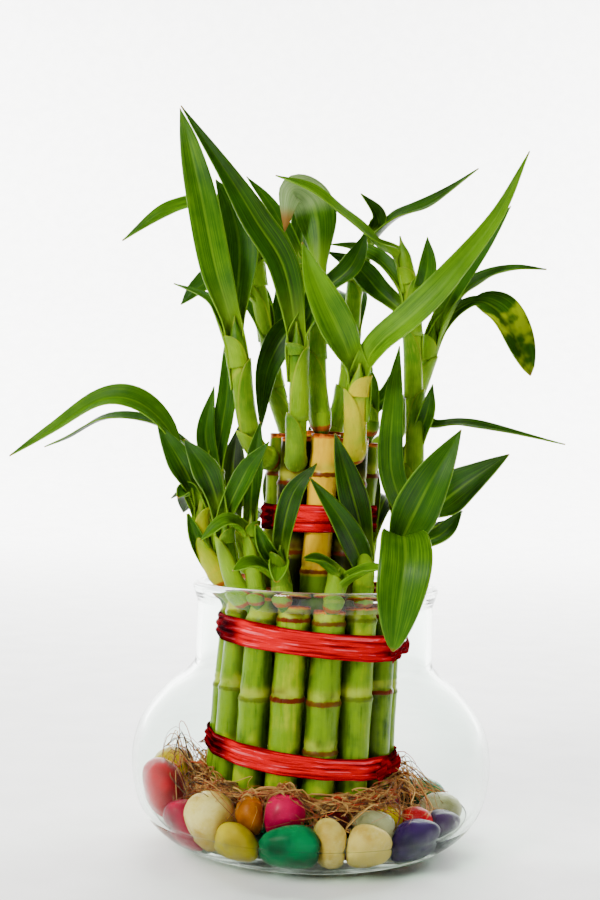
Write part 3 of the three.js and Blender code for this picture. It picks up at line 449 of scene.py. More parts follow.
def cane_material(name, low, middle, high):
    """Cane skin in three greens, streaked lengthwise, with scars at its nodes, a cut top and painted shade
    on the sides that face its neighbours.
    """
    paint = Paint(name)
    ring, pale, scar, top, gap = map(paint.trait, ("ring", "pale", "scar", "top", "gap"))
    apart = paint.add("SeparateXYZ")
    paint.join(paint.place(), apart.inputs[0])
    x, y, z = apart.outputs
    drawn = paint.vector(paint.times(x, 5.0), paint.times(y, 5.0), paint.times(z, 0.5))
    fibre = paint.noise(drawn, 150.0, 4.0)
    cloud = paint.solid_noise(120.0, 3.0)
    blotch = paint.solid_noise(75.0, 2.0)
    rough = paint.solid_noise(700.0, 3.0)
    depth = paint.stir(paint.stir(paint.trait("tone"), fibre, 0.8), cloud, 0.9)
    colour = paint.cover(low, middle, depth, 0.05, 0.5)
    colour = paint.cover(colour, high, depth, 0.5, 0.95)
    colour = paint.cover(colour, "D6D620", blotch, 0.6, 0.7, 0.6)
    colour = paint.blend(paint.trait("unripe"), colour, "84A414")
    # painted shade: the sides of a cane that face its neighbours are darkened where shade falls between the
    # canes
    colour = paint.blend(paint.times(gap, 0.7), colour, "33420A")
    colour = paint.blend(paint.times(pale, paint.span(cloud, 0.3, 0.6, 0.1, 0.6)), colour, "DADA62")
    ragged = paint.stir(ring, rough, 0.8)
    colour = paint.cover(colour, "4E6E10", ragged, 0.4, 0.8, 0.55)
    colour = paint.blend(paint.times(paint.span(ragged, 0.35, 0.7), scar), colour, "8A4014")
    smear = paint.times(paint.times(pale, scar), paint.span(blotch, 0.46, 0.58, 0.0, 0.8))
    colour = paint.blend(smear, colour, "6A2418")
    frayed = paint.stir(top, rough, 0.9)
    colour = paint.cover(colour, "E08A2C", frayed, 0.35, 0.7, 0.9)
    colour = paint.cover(colour, "8A3C14", frayed, 0.7, 1.0, 0.9)
    normal = paint.bump(paint.plus(fibre, paint.times(rough, 0.4)), 0.0002, 0.5)
    roughness = paint.span(fibre, 0.3, 0.7, 0.26, 0.42)
    return paint.done(paint.surface(colour, roughness, normal, Specular_IOR_Level=0.12))


def pebble_material(name, colour, dark, light):
    """A tumbled, dyed stone: clouded colour, fine pits and a half gloss."""
    paint = Paint(name)
    cloud = paint.solid_noise(110.0, 4.0)
    grain = paint.solid_noise(900.0, 3.0)
    veins = paint.solid_noise(45.0, 6.0, 0.7)
    mixed = paint.cover(colour, dark, cloud, 0.35, 0.7)
    mixed = paint.cover(mixed, light, veins, 0.56, 0.7, 0.5)
    mixed = paint.cover(mixed, light, grain, 0.6, 0.8, 0.35)
    normal = paint.bump(paint.plus(grain, cloud), 0.0003, 0.35)
    roughness = paint.span(cloud, 0.3, 0.7, 0.22, 0.4)
    return paint.done(paint.surface(mixed, roughness, normal, Specular_IOR_Level=0.1))


def glass_material(name, refraction, mirror):
    """Clear glass with a faint green cast and a slightly uneven surface."""
    paint = Paint(name)
    ripple = paint.solid_noise(28.0, 2.0)
    speck = paint.solid_noise(600.0, 2.0)
    tint = paint.cover("F4FAF7", "FBFEFC", ripple, 0.3, 0.7)
    roughness = paint.span(speck, 0.6, 0.8, 0.0, 0.06)
    normal = paint.bump(ripple, 0.0012, 0.12)
    return clear_material(paint, tint, roughness, normal, refraction, mirror, "F2F8F4")


def water_material():
    """Water with a barely uneven surface."""
    paint = Paint("water")
    ripple = paint.solid_noise(60.0, 2.0)
    tint = paint.cover("F6FAF4", "FCFEFA", ripple, 0.3, 0.7)
    normal = paint.bump(ripple, 0.0008, 0.2)
    return clear_material(paint, tint, 0.0, normal, WATER_REFRACTION, DIM_MIRROR, "F6FBF7")


def clear_material(paint, tint, roughness, normal, refraction, mirror, passed):
    """Ends a glass or water material, which passes lamp light on to what lies behind it."""
    settings = {"IOR": refraction, "Specular_Tint": mirror}
    clear = paint.surface(tint, roughness, normal, Transmission_Weight=1.0, **settings)
    through = paint.add("BsdfTransparent")
    through.inputs["Color"].default_value = shade(passed)
    path = paint.add("LightPath")
    return paint.done(paint.mix(path.outputs["Is Shadow Ray"], clear, through.outputs[0]))


def ribbon_material():
    """Red satin, gathered lengthwise, with painted shade and light along its gathers, painted highlight
    streaks along its folds, painted shade on its edges and ends in painted shade.
    """
    paint = Paint("ribbon_satin")
    along, across, dusk = map(paint.trait, ("along", "across", "dusk"))
    gathers = paint.noise(paint.vector(paint.times(along, 0.022), paint.times(across, 1.9), 0.0), 2.0, 2.0)
    threads = paint.noise(paint.vector(paint.times(along, 0.06), paint.times(across, 7.0), 3.0), 2.0, 2.0)
    patches = paint.noise(paint.vector(paint.times(along, 0.06), across, 8.0), 2.0, 2.0)
    # painted shade and light: the red runs darker and lighter along the gathers, as the folds turn from the
    # light
    colour = paint.cover("A0001E", "EC0038", gathers, 0.34, 0.55)
    # painted highlight: pale pink streaks along the tops of the gathers stand in for the satin's gloss
    painted_sheen = paint.times(paint.span(gathers, 0.52, 0.62), paint.span(patches, 0.5, 0.62))
    colour = paint.blend(paint.times(painted_sheen, 0.7), colour, "FF8898")
    colour = paint.cover(colour, "8C0010", threads, 0.5, 0.7, 0.3)
    # painted shade along both rolled edges of the band
    colour = paint.cover(colour, "62020F", paint.math("ABSOLUTE", across), 0.84, 1.0, 0.6)
    # painted shade over the ends that turn away from the light, and over the knot
    colour = paint.blend(paint.times(dusk, paint.span(patches, 0.4, 0.6, 1.0, 0.8)), colour, "420818")
    normal = paint.bump(paint.plus(gathers, paint.times(threads, 0.2)), 0.0009, 0.7)
    roughness = paint.span(threads, 0.3, 0.7, 0.28, 0.4)
    return paint.done(paint.surface(colour, roughness, normal, Specular_IOR_Level=0.0))


def root_material():
    """Fibrous roots from dark brown through orange brown to straw."""
    paint = Paint("roots")
    seed = paint.trait("seed")
    cloud = paint.solid_noise(300.0, 3.0)
    colour = paint.cover("5A2C0E", "A8642C", seed, 0.05, 0.35)
    colour = paint.cover(colour, "DCAE74", seed, 0.4, 0.8)
    colour = paint.cover(colour, "C8501C", seed, 0.86, 0.92)
    colour = paint.cover(colour, "DCBC84", cloud, 0.45, 0.7, 0.5)
    roughness = paint.span(cloud, 0.3, 0.7, 0.6, 0.9)
    return paint.done(paint.surface(colour, roughness, paint.bump(cloud, 0.0002)))


def floor_material():
    """A pale, dull floor, barely clouded."""
    paint = Paint("floor")
    grain = paint.solid_noise(40.0, 2.0)
    colour = paint.cover("F6F6F5", "FAFAF9", grain, 0.3, 0.7)
    return paint.done(paint.surface(colour, 0.7))


LEAF = leaf_material()
STEM = stem_material()
SATIN = ribbon_material()
GREEN_CANE = cane_material("cane_green_skin", "587408", "94AC16", "C2C420")
# A copy of the green cane skin in painted shade, for the inner canes that stand in shadow
SHADED_CANE = cane_material("cane_shaded_skin", "1E1606", "3E3E0A", "7C8418")
YELLOW_CANE = cane_material("cane_yellow_skin", "E8B800", "F8D400", "FFE608")

# Shoots: the stems and leaves that grow from the canes' tops

TO_FRONT = [0, -1, 0.25]
TO_BACK = [0, 1, 0.25]
UPWARD = [0, 0, 1]
SHOOT_RADIUS = [3, 2.1]  # at the foot and at the tip, in millimetres
STEM_TONE = 0.42
SHOOTS = []


def leaf(line, width, face=UPWARD, stalk=0, blunt=0, **looks):
    """A leaf along points from its stem to its tip. face is the way that its upper side looks, stalk
    the share of it that is narrow at first, blunt how round its tip is, and looks are its traits."""
    return {"line": line, "width": width, "face": face, "stalk": stalk, "blunt": blunt, "looks": looks}


def shoot(node, stem, *leaves, radius=SHOOT_RADIUS, tone=STEM_TONE):
    """Lists a stem of a cane, along points from foot to tip, and its leaves. tone 1 is yellow."""
    SHOOTS.append({"node": node, "stem": stem, "leaves": leaves, "radius": radius, "tone": tone})


# The shoots of each cane, in millimetres. Both tiers count from the front round by the right.
shoot(
    "cane_outer_01",
    [[3.5, -24, 70], [5, -26.5, 79], [6.5, -27, 87]],
    leaf([[6.5, -27, 85], [1.5, -31, 89.5], [-4, -34.5, 90]], 4, [0, -0.6, 1]),
    leaf([[6.5, -27, 83], [13, -32, 87], [19, -36, 88]], 6, [0, -0.6, 1]),
)
shoot(
    "cane_outer_02",
    [[13, -19, 72], [14, -20, 84], [14, -19.5, 96]],
    leaf([[14, -19.5, 93], [9, -25.5, 110], [4, -24, 126]], 8.5, TO_FRONT, tone=0.22),
    leaf([[14, -20, 86], [7, -29.5, 100], [-3, -32, 113]], 7.6, TO_FRONT, tone=0.3),
)
shoot(
    "cane_outer_03",
    [[20, -12, 72], [22.5, -18, 84], [23.5, -22, 96]],
    leaf([[23.5, -22, 92], [30.5, -28, 110], [40.5, -27, 128]], 13, [0.1, -1, 0.3], tone=0.5),
    leaf(
        [[23, -20, 89], [24, -33, 97], [24, -43, 90], [22.5, -46, 79], [21, -47, 66]],
        14.5, [0, -1, 1], blunt=0.7, tone=0.6,
    ),
)
shoot(
    "cane_outer_04",
    [[22, -1, 72], [27, -4, 90], [29, -5, 107], [28.3, -5, 140], [27, -4, 168], [23, -2, 188]],
    leaf(
        [[23, -2, 183], [15, -9, 185], [5, -15, 191], [-5, -18, 198], [-15.5, -18, 202]],
        8, [0.2, -0.7, 1],
    ),
    leaf([[27.5, -4, 164], [31, -8, 176], [31, -7.5, 187]], 6, TO_FRONT),
    leaf([[27, -4, 162], [17, 3, 172], [10, 4, 179], [1, 6, 184]], 8, TO_FRONT),
    leaf([[26, -3, 170], [20, 6, 180], [11, 9, 185.5], [2, 10, 187]], 6, [0, -1, 1]),
    leaf([[28, -5, 98], [21.5, -12.5, 116], [21.5, -15, 137], [23, -13, 153]], 7.5, TO_FRONT),
    leaf([[29, -5, 122], [32, -10, 133], [33.5, -11, 142]], 4.4, TO_FRONT),
    leaf([[29, -5, 101], [37, -9, 106], [45, -12, 112.5], [57, -12, 121.5]], 13.5, [-0.3, -1, 0.5]),
    leaf([[27.5, -4, 91], [38, -7, 97], [44, -7, 104]], 5.5, TO_FRONT),
    radius=[3.3, 2.1],
)
shoot(
    "cane_outer_05",
    [[20, 10, 72], [26, 16, 86], [28, 20, 98]],
    leaf([[28, 20, 95], [41, 28, 110], [55, 32, 112]], 12),
    leaf([[28, 20, 96], [29, 26, 114], [34, 31, 131]], 11, [-0.6, -1, 0.4]),
    leaf([[25, 15, 84], [36, 13, 96], [45, 13, 101]], 8),
)
shoot(
    "cane_outer_06",
    [[13, 19, 72], [17, 26, 86], [18, 29, 96]],
    leaf([[18, 29, 93], [24, 42, 106], [29, 54, 103]], 11),
    leaf([[18, 29, 94], [17, 33, 110], [18, 37, 124]], 9, [0, -1, 0.4]),
)
shoot(
    "cane_outer_07",
    [[4, 23, 72], [5, 31, 88], [4, 33, 100]],
    leaf([[4, 33, 97], [8, 46, 113], [11, 60, 110]], 12),
    leaf([[4, 33, 98], [-1, 37, 116], [-3, 42, 130]], 10, [0, -1, 0.4]),
)
shoot(
    "cane_outer_08",
    [[-7, 23, 72], [-9, 30, 85], [-12, 32, 95]],
    leaf([[-12, 32, 92], [-18, 44, 101], [-24, 56, 94]], 11),
    leaf([[-12, 32, 93], [-14, 35, 108], [-14, 40, 121]], 9, [0, -1, 0.4]),
)
shoot(
    "cane_outer_09",
    [[-18, 19, 72], [-23, 25, 86], [-27, 27, 98]],
    leaf([[-27, 27, 95], [-38, 38, 108], [-50, 45, 104]], 12),
    leaf([[-27, 27, 96], [-28, 29, 114], [-27, 33, 129]], 9, [0, -1, 0.4]),
)
shoot(
    "cane_outer_10",
    [[-24, 10, 74], [-31, 12, 88], [-34, 12, 101]],
    leaf([[-34, 12, 98], [-40, 19, 105], [-44, 27, 100]], 11),
    leaf([[-34, 12, 99], [-35, 13, 118], [-36, 16, 130]], 9, [0.4, -1, 0.3]),
)
shoot(
    "cane_outer_11",
    [[-27, 0, 74], [-31, -1, 90], [-32, -2, 106], [-32, -2, 118]],
    leaf(
        [
            [-32, -2, 114], [-41, -3, 122], [-52, -4, 128],
            [-66, -1, 129], [-78, 2, 123], [-86, 4, 120],
        ],
        7, [0, -0.25, 1], stalk=0.12,
    ),
    leaf([[-32, -2, 111], [-35, -4, 125], [-33, -3, 140]], 6, TO_FRONT),
    leaf([[-32, -2, 115], [-29, -2, 138], [-30, 0, 155]], 6, TO_FRONT),
)
shoot(
    "cane_outer_12",
    [[-25, -10, 76], [-31, -10, 85], [-35, -9, 93], [-35.5, -9, 108]],
    leaf(
        [
            [-35.5, -9, 105], [-40, -10.5, 116], [-47, -13, 127.5], [-56, -15.5, 134],
            [-66, -15.5, 133.8], [-80, -13, 125], [-93.5, -11, 116.8],
        ],
        9.5, [0.1, -0.8, 1], stalk=0.26,
    ),
    leaf([[-35, -9, 102], [-39, -14, 112], [-43, -16, 119], [-49, -14, 128]], 8.5, TO_FRONT),
    leaf([[-35, -9, 99], [-39, -13, 108], [-42, -15, 106]], 5, [-0.3, -1, 0.6]),
    leaf([[-33, -10, 87], [-36, -13, 93], [-39, -14, 101]], 4.2, TO_FRONT),
    tone=0.85,
)
shoot(
    "cane_outer_13",
    [[-18, -19, 72], [-25, -20, 84], [-28, -20, 101]],
    leaf([[-28, -20, 97], [-31, -23, 109], [-34.5, -24, 116], [-40, -22, 123]], 8.6, TO_FRONT, tone=0.3),
    leaf([[-28, -20, 98], [-22, -25, 113], [-15, -26, 123]], 6.2, TO_FRONT),
)
shoot(
    "cane_outer_13",
    [[-16, -21, 72], [-18.5, -22, 86], [-20, -20.5, 103]],
    leaf([[-19.5, -21.5, 95], [-26, -27, 100], [-34, -28.5, 94]], 5.5, [0, -1, 1]),
    leaf([[-20, -20.5, 100], [-19.5, -18.5, 115], [-18, -17, 129]], 6, TO_FRONT),
    radius=[2.6, 1.8],
)
shoot(
    "cane_outer_14",
    [[-8, -24, 71], [-10.5, -25.5, 83], [-11, -25, 93]],
    leaf([[-11, -25, 90], [-8, -29.5, 107], [-1, -29.5, 117]], 6.4, TO_FRONT, tone=0.3),
    leaf([[-11, -25, 86], [-15, -28.5, 92], [-18, -29, 99]], 4, TO_FRONT),
    leaf([[-11, -25, 84], [-18, -31.5, 88], [-24, -35.5, 86]], 7, [0, -0.8, 1]),
    leaf([[-11, -26, 86], [-11, -32, 88.5], [-11.5, -36, 83.5]], 7.5, [0, -1, 1]),
)
shoot(
    "cane_inner_1",
    [[1, -11, 121], [-1, -9.5, 142], [-2, -7, 164], [-2, -5, 176]],
    leaf(
        [[-2, -5, 172], [-2, -3, 187], [-4.5, -3, 197.5], [-10.5, -7, 199.5], [-12.5, -10, 187]],
        # pale paints a whitish highlight over this leaf's bent top, and browns its tip
        12.5, TO_BACK, pale=1.0,
    ),
    leaf([[-2, -6, 168], [8, -3, 178], [13, 3, 190]], 7, TO_FRONT),
)
shoot(
    "cane_inner_2",
    [[10, -9.5, 115], [10.5, -15, 124], [10.5, -18, 136], [11, -19, 147]],
    leaf(
        [[11, -19, 143], [7, -22.5, 151], [2, -25.5, 160], [-3, -27, 170], [-7, -26, 181]],
        10.5, TO_FRONT, tone=0.72,
    ),
    leaf(
        [
            [11, -19, 143], [16, -23.5, 152], [26, -26.5, 161],
            [36, -26, 172], [50, -21, 191], [60, -15, 212],
        ],
        9, [-0.4, -1, 0.4], tone=0.78,
    ),
    radius=[3.3, 3],
    tone=0.9,
)
shoot(
    "cane_inner_3",
    [[14, -0.5, 121], [15.5, -3, 130], [15.5, -3, 137]],
    leaf([[15.5, -3, 133], [15, -6, 140], [14, -6.5, 147]], 5.5, TO_FRONT),
    leaf([[15.5, -3, 134], [21, 3, 140], [24, 3, 150]], 5, TO_FRONT),
)
shoot(
    "cane_inner_4",
    [[11, 9, 119], [23, 10, 126], [30, 9, 140], [33.5, 8, 152], [35.5, 7, 163]],
    leaf([[35.5, 7, 159], [41.5, 3, 170], [50, 1, 176], [59, -3, 178.5], [68, -5, 178.5]], 7, [0, -0.6, 1]),
    leaf(
        [[35.5, 7, 158], [40, 6, 165], [47, 4, 169], [53, 2, 167], [58.5, 0, 160], [64.5, -2, 146]],
        14, [0.4, -1, 0.6], stalk=0.4, blunt=0.6, yellow=1.0,
    ),
    leaf([[35.5, 7, 161], [42, -1, 175], [49, -6, 186], [56, -8, 197]], 5.5, TO_FRONT),
    leaf([[28, 9.5, 134], [36, 4, 130], [44, 1, 130.5], [55, -2, 129], [75, -6, 125]], 6, [0, -0.5, 1]),
)
shoot(
    "cane_inner_5",
    [[2, 13, 121], [8, 17, 140], [10, 18, 168], [13, 15.5, 190]],
    leaf([[13, 15.5, 188], [22, 9, 195], [34, 5, 200], [47, 0, 210]], 9.5, [-0.2, -0.6, 1]),
    leaf([[13, 15.5, 187], [17, 12, 196], [11, 8, 203]], 5, [0, -1, 0.6]),
    leaf([[10, 17, 160], [9, 32, 174], [6, 47, 168]], 11),
    leaf([[8, 17, 140], [14, 25, 148], [16, 34, 146]], 9, TO_FRONT),
)
shoot(
    "cane_inner_6",
    [[-7, 9, 121], [-14, 11, 140], [-19, 9, 165], [-23, 5, 188]],
    leaf(
        [[-23, 5, 185], [-34, 2, 196.5], [-42, 0, 196], [-51, -3, 192], [-62, -6, 183.5]],
        9, [0, -0.8, 1],
    ),
    leaf([[-19.5, 8.5, 168], [-31, 3, 175], [-38, 0, 171], [-44, -2, 165]], 8.5, [0, -1, 0.8]),
    leaf([[-18, 9.5, 158], [-26, 24, 176], [-32, 42, 176]], 11),
    leaf([[-16, 10.5, 150], [-13, 16, 166], [-14, 17, 180]], 7, TO_FRONT),
)
shoot(
    "cane_inner_7",
    [[-11, -1, 116], [-18, -6, 120], [-22, -10, 128], [-25, -11, 146], [-27, -11, 161]],
    leaf(
        [
            [-27, -11.5, 157], [-32.5, -15, 174], [-37.3, -16, 195],
            [-41.5, -14, 211], [-45, -11, 223],
        ],
        9.3, TO_FRONT, tone=0.62,
    ),
    leaf([[-27, -10.5, 156], [-26, -6, 180], [-29, -4, 194], [-34, -6, 203]], 11, TO_FRONT, tone=0.52),
    leaf([[-26.5, -11, 152], [-31, -9, 162], [-36, -7, 167], [-46, -5, 171]], 3.5, [0, -1, 1]),
    radius=[3.3, 2.6],
)
shoot(
    "cane_inner_8",
    [[-7.5, -10, 115], [-7, -15.5, 121], [-7, -17, 138], [-8, -17, 159]],
    leaf(
        [
            [-8, -17, 155], [-12.3, -20, 174.5], [-21, -21.5, 188],
            [-30, -21, 202], [-44, -18.5, 221.8],
        ],
        9, TO_FRONT, tone=0.3,
    ),
    leaf([[-8, -17, 154], [-3.5, -17, 164], [-4, -15, 173]], 6, TO_FRONT),
    radius=[3.1, 2.5],
)
shoot(
    "cane_centre",
    [[1, 2, 122], [-3, 6, 146], [-6, 8, 170], [-8, 8, 184]],
    leaf([[-8, 8, 181], [-16, 5, 196], [-25, 2, 206]], 4.5, TO_FRONT),
    leaf([[-8, 8, 180], [-6, 17, 200], [-8, 27, 212]], 9, TO_FRONT),
    leaf([[-5, 7.5, 163], [-11, 4, 158], [-17, 3, 145], [-18.5, 2, 127]], 9, [0, -1, 0.6]),
)

LEAF_ROWS = 43
LEAF_COLUMNS = 13
LEAF_FOLD = 0.36  # rise of a leaf's edges over its midrib, as a share of its half width
LEAF_WAVE = 0.09  # and that of the waves along its edges
LEAF_WAVES = 1.2  # the least number of waves along an edge
RIB_ROUNDING = 0.015  # keeps the fold at the midrib from being sharp
LEAF_CLASP = math.radians(105)  # how far round its stem a leaf's base reaches to each side
CLASP_GAP = 0.3  # between a stem and the leaf base round it, in millimetres
CLASP_FLARE = 0.03  # how much wider the base gets for each millimetre further down
LEAF_THICKNESS = 0.4
LEAF_TONE = 0.29  # of a lower leaf over the bowl's middle; 0 is dark and 1 light
FRONT_PAINTED_LIGHT = 0.011  # painted light: how much lighter a leaf is for each millimetre nearer to the front
UPPER_PAINTED_LIGHT = 0.16  # and how much lighter the upper tier's leaves are, also painted light
TONE_SPREAD = 0.36  # the range of what chance adds
LEAST_HALF_WIDTH = 0.15
SHEATH_REACH = 19  # how far up a leaf its base still clasps the stem, in millimetres
SHEATH_LENGTH = 15
SHEATH_DROP = 13  # how far below the spot where a leaf leaves its stem its sheath starts
LEAST_DROP = 2  # a leaf whose sheath would be shorter has none
SHEATH_SEARCH = 80  # points along a stem among which the start of a sheath is looked for
SHEATH_WRAP = math.radians(125)  # how far round the stem an old leaf base reaches to each side
SHEATH_ROWS = 13
STEM_SIDES = 20
STEM_SCAR = 6.5  # how far up a stem its frayed ring lies, in millimetres
STEM_TIP = 9  # how far from its end a stem starts to narrow


def leaf_outline(shares, stalk, blunt):
    """Width along a leaf, as a share of its greatest width. A blunt leaf has a rounder tip."""
    reach = np.clip((shares - stalk) / (1 - stalk), 0, 1)
    belly = np.abs(np.sin(np.pi * reach ** (0.8 + 0.5 * blunt))) ** (0.9 - 0.35 * blunt)
    return 0.3 * (1 - reach) ** 4 + belly


def sheath_foot(stem, spot):
    """Where the sheath starts of a leaf that leaves a stem at spot, and the length between."""
    places = smooth_line(stem, np.linspace(0, 1, SHEATH_SEARCH))[0]
    steps = np.concatenate([[0], np.cumsum(np.linalg.norm(np.diff(places, axis=0), axis=1))])
    nearest = np.argmin(np.linalg.norm(places - spot, axis=1))
    foot = np.argmin(abs(steps - max(steps[nearest] - SHEATH_DROP, STEM_SCAR + 1)))
    return places[foot], max(steps[nearest] - steps[foot], 0.0)


def add_leaf(shape, plan, stem, radius, chance):
    """A blade whose base clasps its stem, folded along the midrib, with waved edges."""
    line = np.array(plan["line"], float)
    foot, drop = sheath_foot(stem, line[0])
    if drop > LEAST_DROP:
        line = np.vstack([foot, line])
    else:
        drop = 0.0
    length = run_length(line)
    rows = np.linspace(0, 1, LEAF_ROWS)
    places, directions = smooth_line(line, rows)
    past_stem = rows * length - drop
    shares = np.clip(past_stem / (length - drop), 0, 1)
    across, out = axes_along(directions, plan["face"])
    side = np.linspace(-1, 1, LEAF_COLUMNS)
    outline = leaf_outline(shares, plan["stalk"], plan["blunt"])
    half = np.maximum(plan["width"] / 2 * outline, LEAST_HALF_WIDTH)[:, None]
    waves = LEAF_WAVES + chance.random()
    phase = 2 * math.pi * (waves * shares[:, None] + chance.random() + 0.3 * np.sign(side))
    aside = half * side
    lift = LEAF_FOLD * half * np.sqrt(side**2 + RIB_ROUNDING)
    lift = lift + LEAF_WAVE * half * np.sin(phase) * side**2
    clasp = (1 - ease(past_stem, 0, SHEATH_REACH))[:, None]
    curl = radius[1] + CLASP_GAP + CLASP_FLARE * np.maximum(-past_stem, 0)[:, None]
    turn = side * LEAF_CLASP
    aside = aside + clasp * (curl * np.sin(turn) - aside)
    lift = lift + clasp * (-curl * np.cos(turn) - lift)
    grid = places[:, None] + aside[..., None] * across[:, None] + lift[..., None] * out[:, None]
    middle = places[LEAF_ROWS // 2]
    # painted light and shade: a leaf is lighter nearer the front and in the upper tier, and darker lower
    # down and further back
    tone = LEAF_TONE - FRONT_PAINTED_LIGHT * middle[1] + UPPER_PAINTED_LIGHT * ease(middle[2], 90, 150)
    tone += TONE_SPREAD * (chance.random() - 0.5)
    traits = {"along": shares[:, None], "across": side, "tone": tone, "seed": chance.random() * 9}
    shape.grid(grid, wrapped=False, **{**traits, **plan["looks"]})


def add_sheath(shape, points, radius, start, end, turn, tone, chance):
    """An old leaf base wrapped round a stem from start to end, pointed and a little open on top."""
    shares = np.linspace(0, 1, SHEATH_ROWS)[:, None]
    spots = start + (end - start) * shares
    places, directions = smooth_line(points, spots[:, 0])
    side = np.linspace(-1, 1, LEAF_COLUMNS)
    wrap = math.radians(turn) + SHEATH_WRAP * side * np.maximum(1 - shares**2, 0.002) ** 0.55
    stem = radius[0] + (radius[1] - radius[0]) * spots
    reach = 1.04 * stem + 0.15 + 0.7 * shares**3
    shape.grid(
        places[:, None] + reach[..., None] * spokes_round(directions, wrap),
        wrapped=False,
        along=shares * 2,
        across=side,
        tone=tone - 0.12 * shares,
        seed=chance.random() * 9,
        edge=np.maximum(ease(abs(side), 0.75, 1.0), ease(shares, 0.9, 1.0)),
    )


def add_sheaths(shape, points, radius, tone, chance):
    """Old leaf bases all the way up a stem, left and right by turns."""
    length = run_length(points)
    for i in range(max(1, round((length - STEM_SCAR) / SHEATH_LENGTH))):
        start = (STEM_SCAR + 2.5 + i * SHEATH_LENGTH) / length
        end = min(start + (SHEATH_LENGTH + 2) / length, 0.9)
        turn = 90 + (65 if i % 2 else -65) + 30 * (chance.random() - 0.5)
        own_tone = tone + 0.3 * (chance.random() - 0.3)
        add_sheath(shape, points, radius, start, end, turn, own_tone, chance)


def add_stem(shape, points, radius, tone, chance):
    """A stem of overlapping sheaths, each widest at its upper edge, over a foot with a frayed ring."""
    length = run_length(points)
    shares = np.linspace(0, 1, int(length * 1.2))[:, None]
    run = shares * length
    turn = round_turn(STEM_SIDES)
    slant = 0.13 * np.cos(turn + chance.random() * 6)
    reach = (shares * max(2, round(length / SHEATH_LENGTH)) + slant) % 1
    swell = reach * (1 - ease(reach, 0.9, 1.0))
    places, directions = smooth_line(points, shares[:, 0])
    taper = radius[0] + (radius[1] - radius[0]) * shares
    taper = taper * (1 - 0.85 * ease(run, length - STEM_TIP, length))
    rise = run - STEM_SCAR + 0.9 * np.sin(turn)
    taper = taper * (0.5 + 0.5 * ease(rise, -2.6, -0.2)) * (1 + 0.2 * hump(rise, 3, 2.4))
    size = taper * (0.96 + 0.07 * swell)
    shape.grid(
        places[:, None] + size[..., None] * spokes_round(directions, turn),
        capped=True,
        along=run * 0.1,
        across=np.abs(np.linspace(-1, 1, STEM_SIDES)),
        tone=tone - 0.35 * (1 - ease(rise, -1, 0)) - 0.5 * tone * ease(run, length - 16, length - 5),
        seed=chance.random() * 9,
        edge=ease(reach, 0.82, 0.9) * (1 - ease(reach, 0.94, 1.0)),
        scar=hump(rise, 0, 0.9),
    )


def grow_shoots(node, slot, seed):
    """A cane's leaves as one piece, its stems as another and their old leaf bases as a third."""
    chance = random.Random(seed)
    leaves = Shape("along", "across", "tone", "seed", "yellow", "pale")
    stems = Shape("along", "across", "tone", "seed", "edge", "scar")
    sheaths = Shape("along", "across", "tone", "seed", "edge", "scar")
    for growth in [growth for growth in SHOOTS if growth["node"] == node]:
        stem, radius, tone = growth["stem"], growth["radius"], growth["tone"]
        add_stem(stems, stem, radius, tone, chance)
        add_sheaths(sheaths, stem, radius, tone, chance)
        for plan in growth["leaves"]:
            add_leaf(leaves, plan, stem, radius, chance)
    thicken(leaves.piece(node + "_leaves", LEAF, [node], slot), LEAF_THICKNESS)
    stems.piece(node + "_stems", STEM, [node], slot)
    thicken(sheaths.piece(node + "_sheaths", STEM, [node], slot), LEAF_THICKNESS)


# Canes

CANE_SIDES = 28
CANE_STEP = 0.7  # between a cane's rings of points, in millimetres
NODE_SWELL = 0.3  # height of a node's swelling and of its ridge, and depth of the groove over it
SWELL_REACH = 4.5  # how far along the cane the swelling falls to about a third
RIDGE_REACH = 0.7  # and the ridge and the groove
GROOVE_RISE = 1.6  # of the groove over the ridge
CUT_SLANT = 0.25  # how far the edge of a cut top is up on one side and down on the other
FRONT_JOINT = 33  # height of a ring that only the front cane has
OUTER_JOINTS = [47, 70.5]  # heights of the rings round an outer cane
OUTER_SCARS = {0: 0.8, 2: 1.0, 13: 1.0, 7: 0.7}  # how brown the rings of the most marked canes are
PLAIN_SCAR = 0.2  # and those of the others
OUTER_TOPS = [75.5, 77, 78, 79, 80, 79.5, 80, 81, 80, 81, 82, 82, 79.5, 77]
INNER_JOINTS = [[84.6, 113.5], [90, 111]]  # heights of the rings round every other inner cane
INNER_SCAR = 0.9
INNER_SKINS = {0: YELLOW_CANE, 1: SHADED_CANE, 7: SHADED_CANE}  # the front inner cane, and its neighbours in a copy of the green skin in painted shade
CENTRE_JOINTS = [90]
CENTRE_SCAR = 0.35


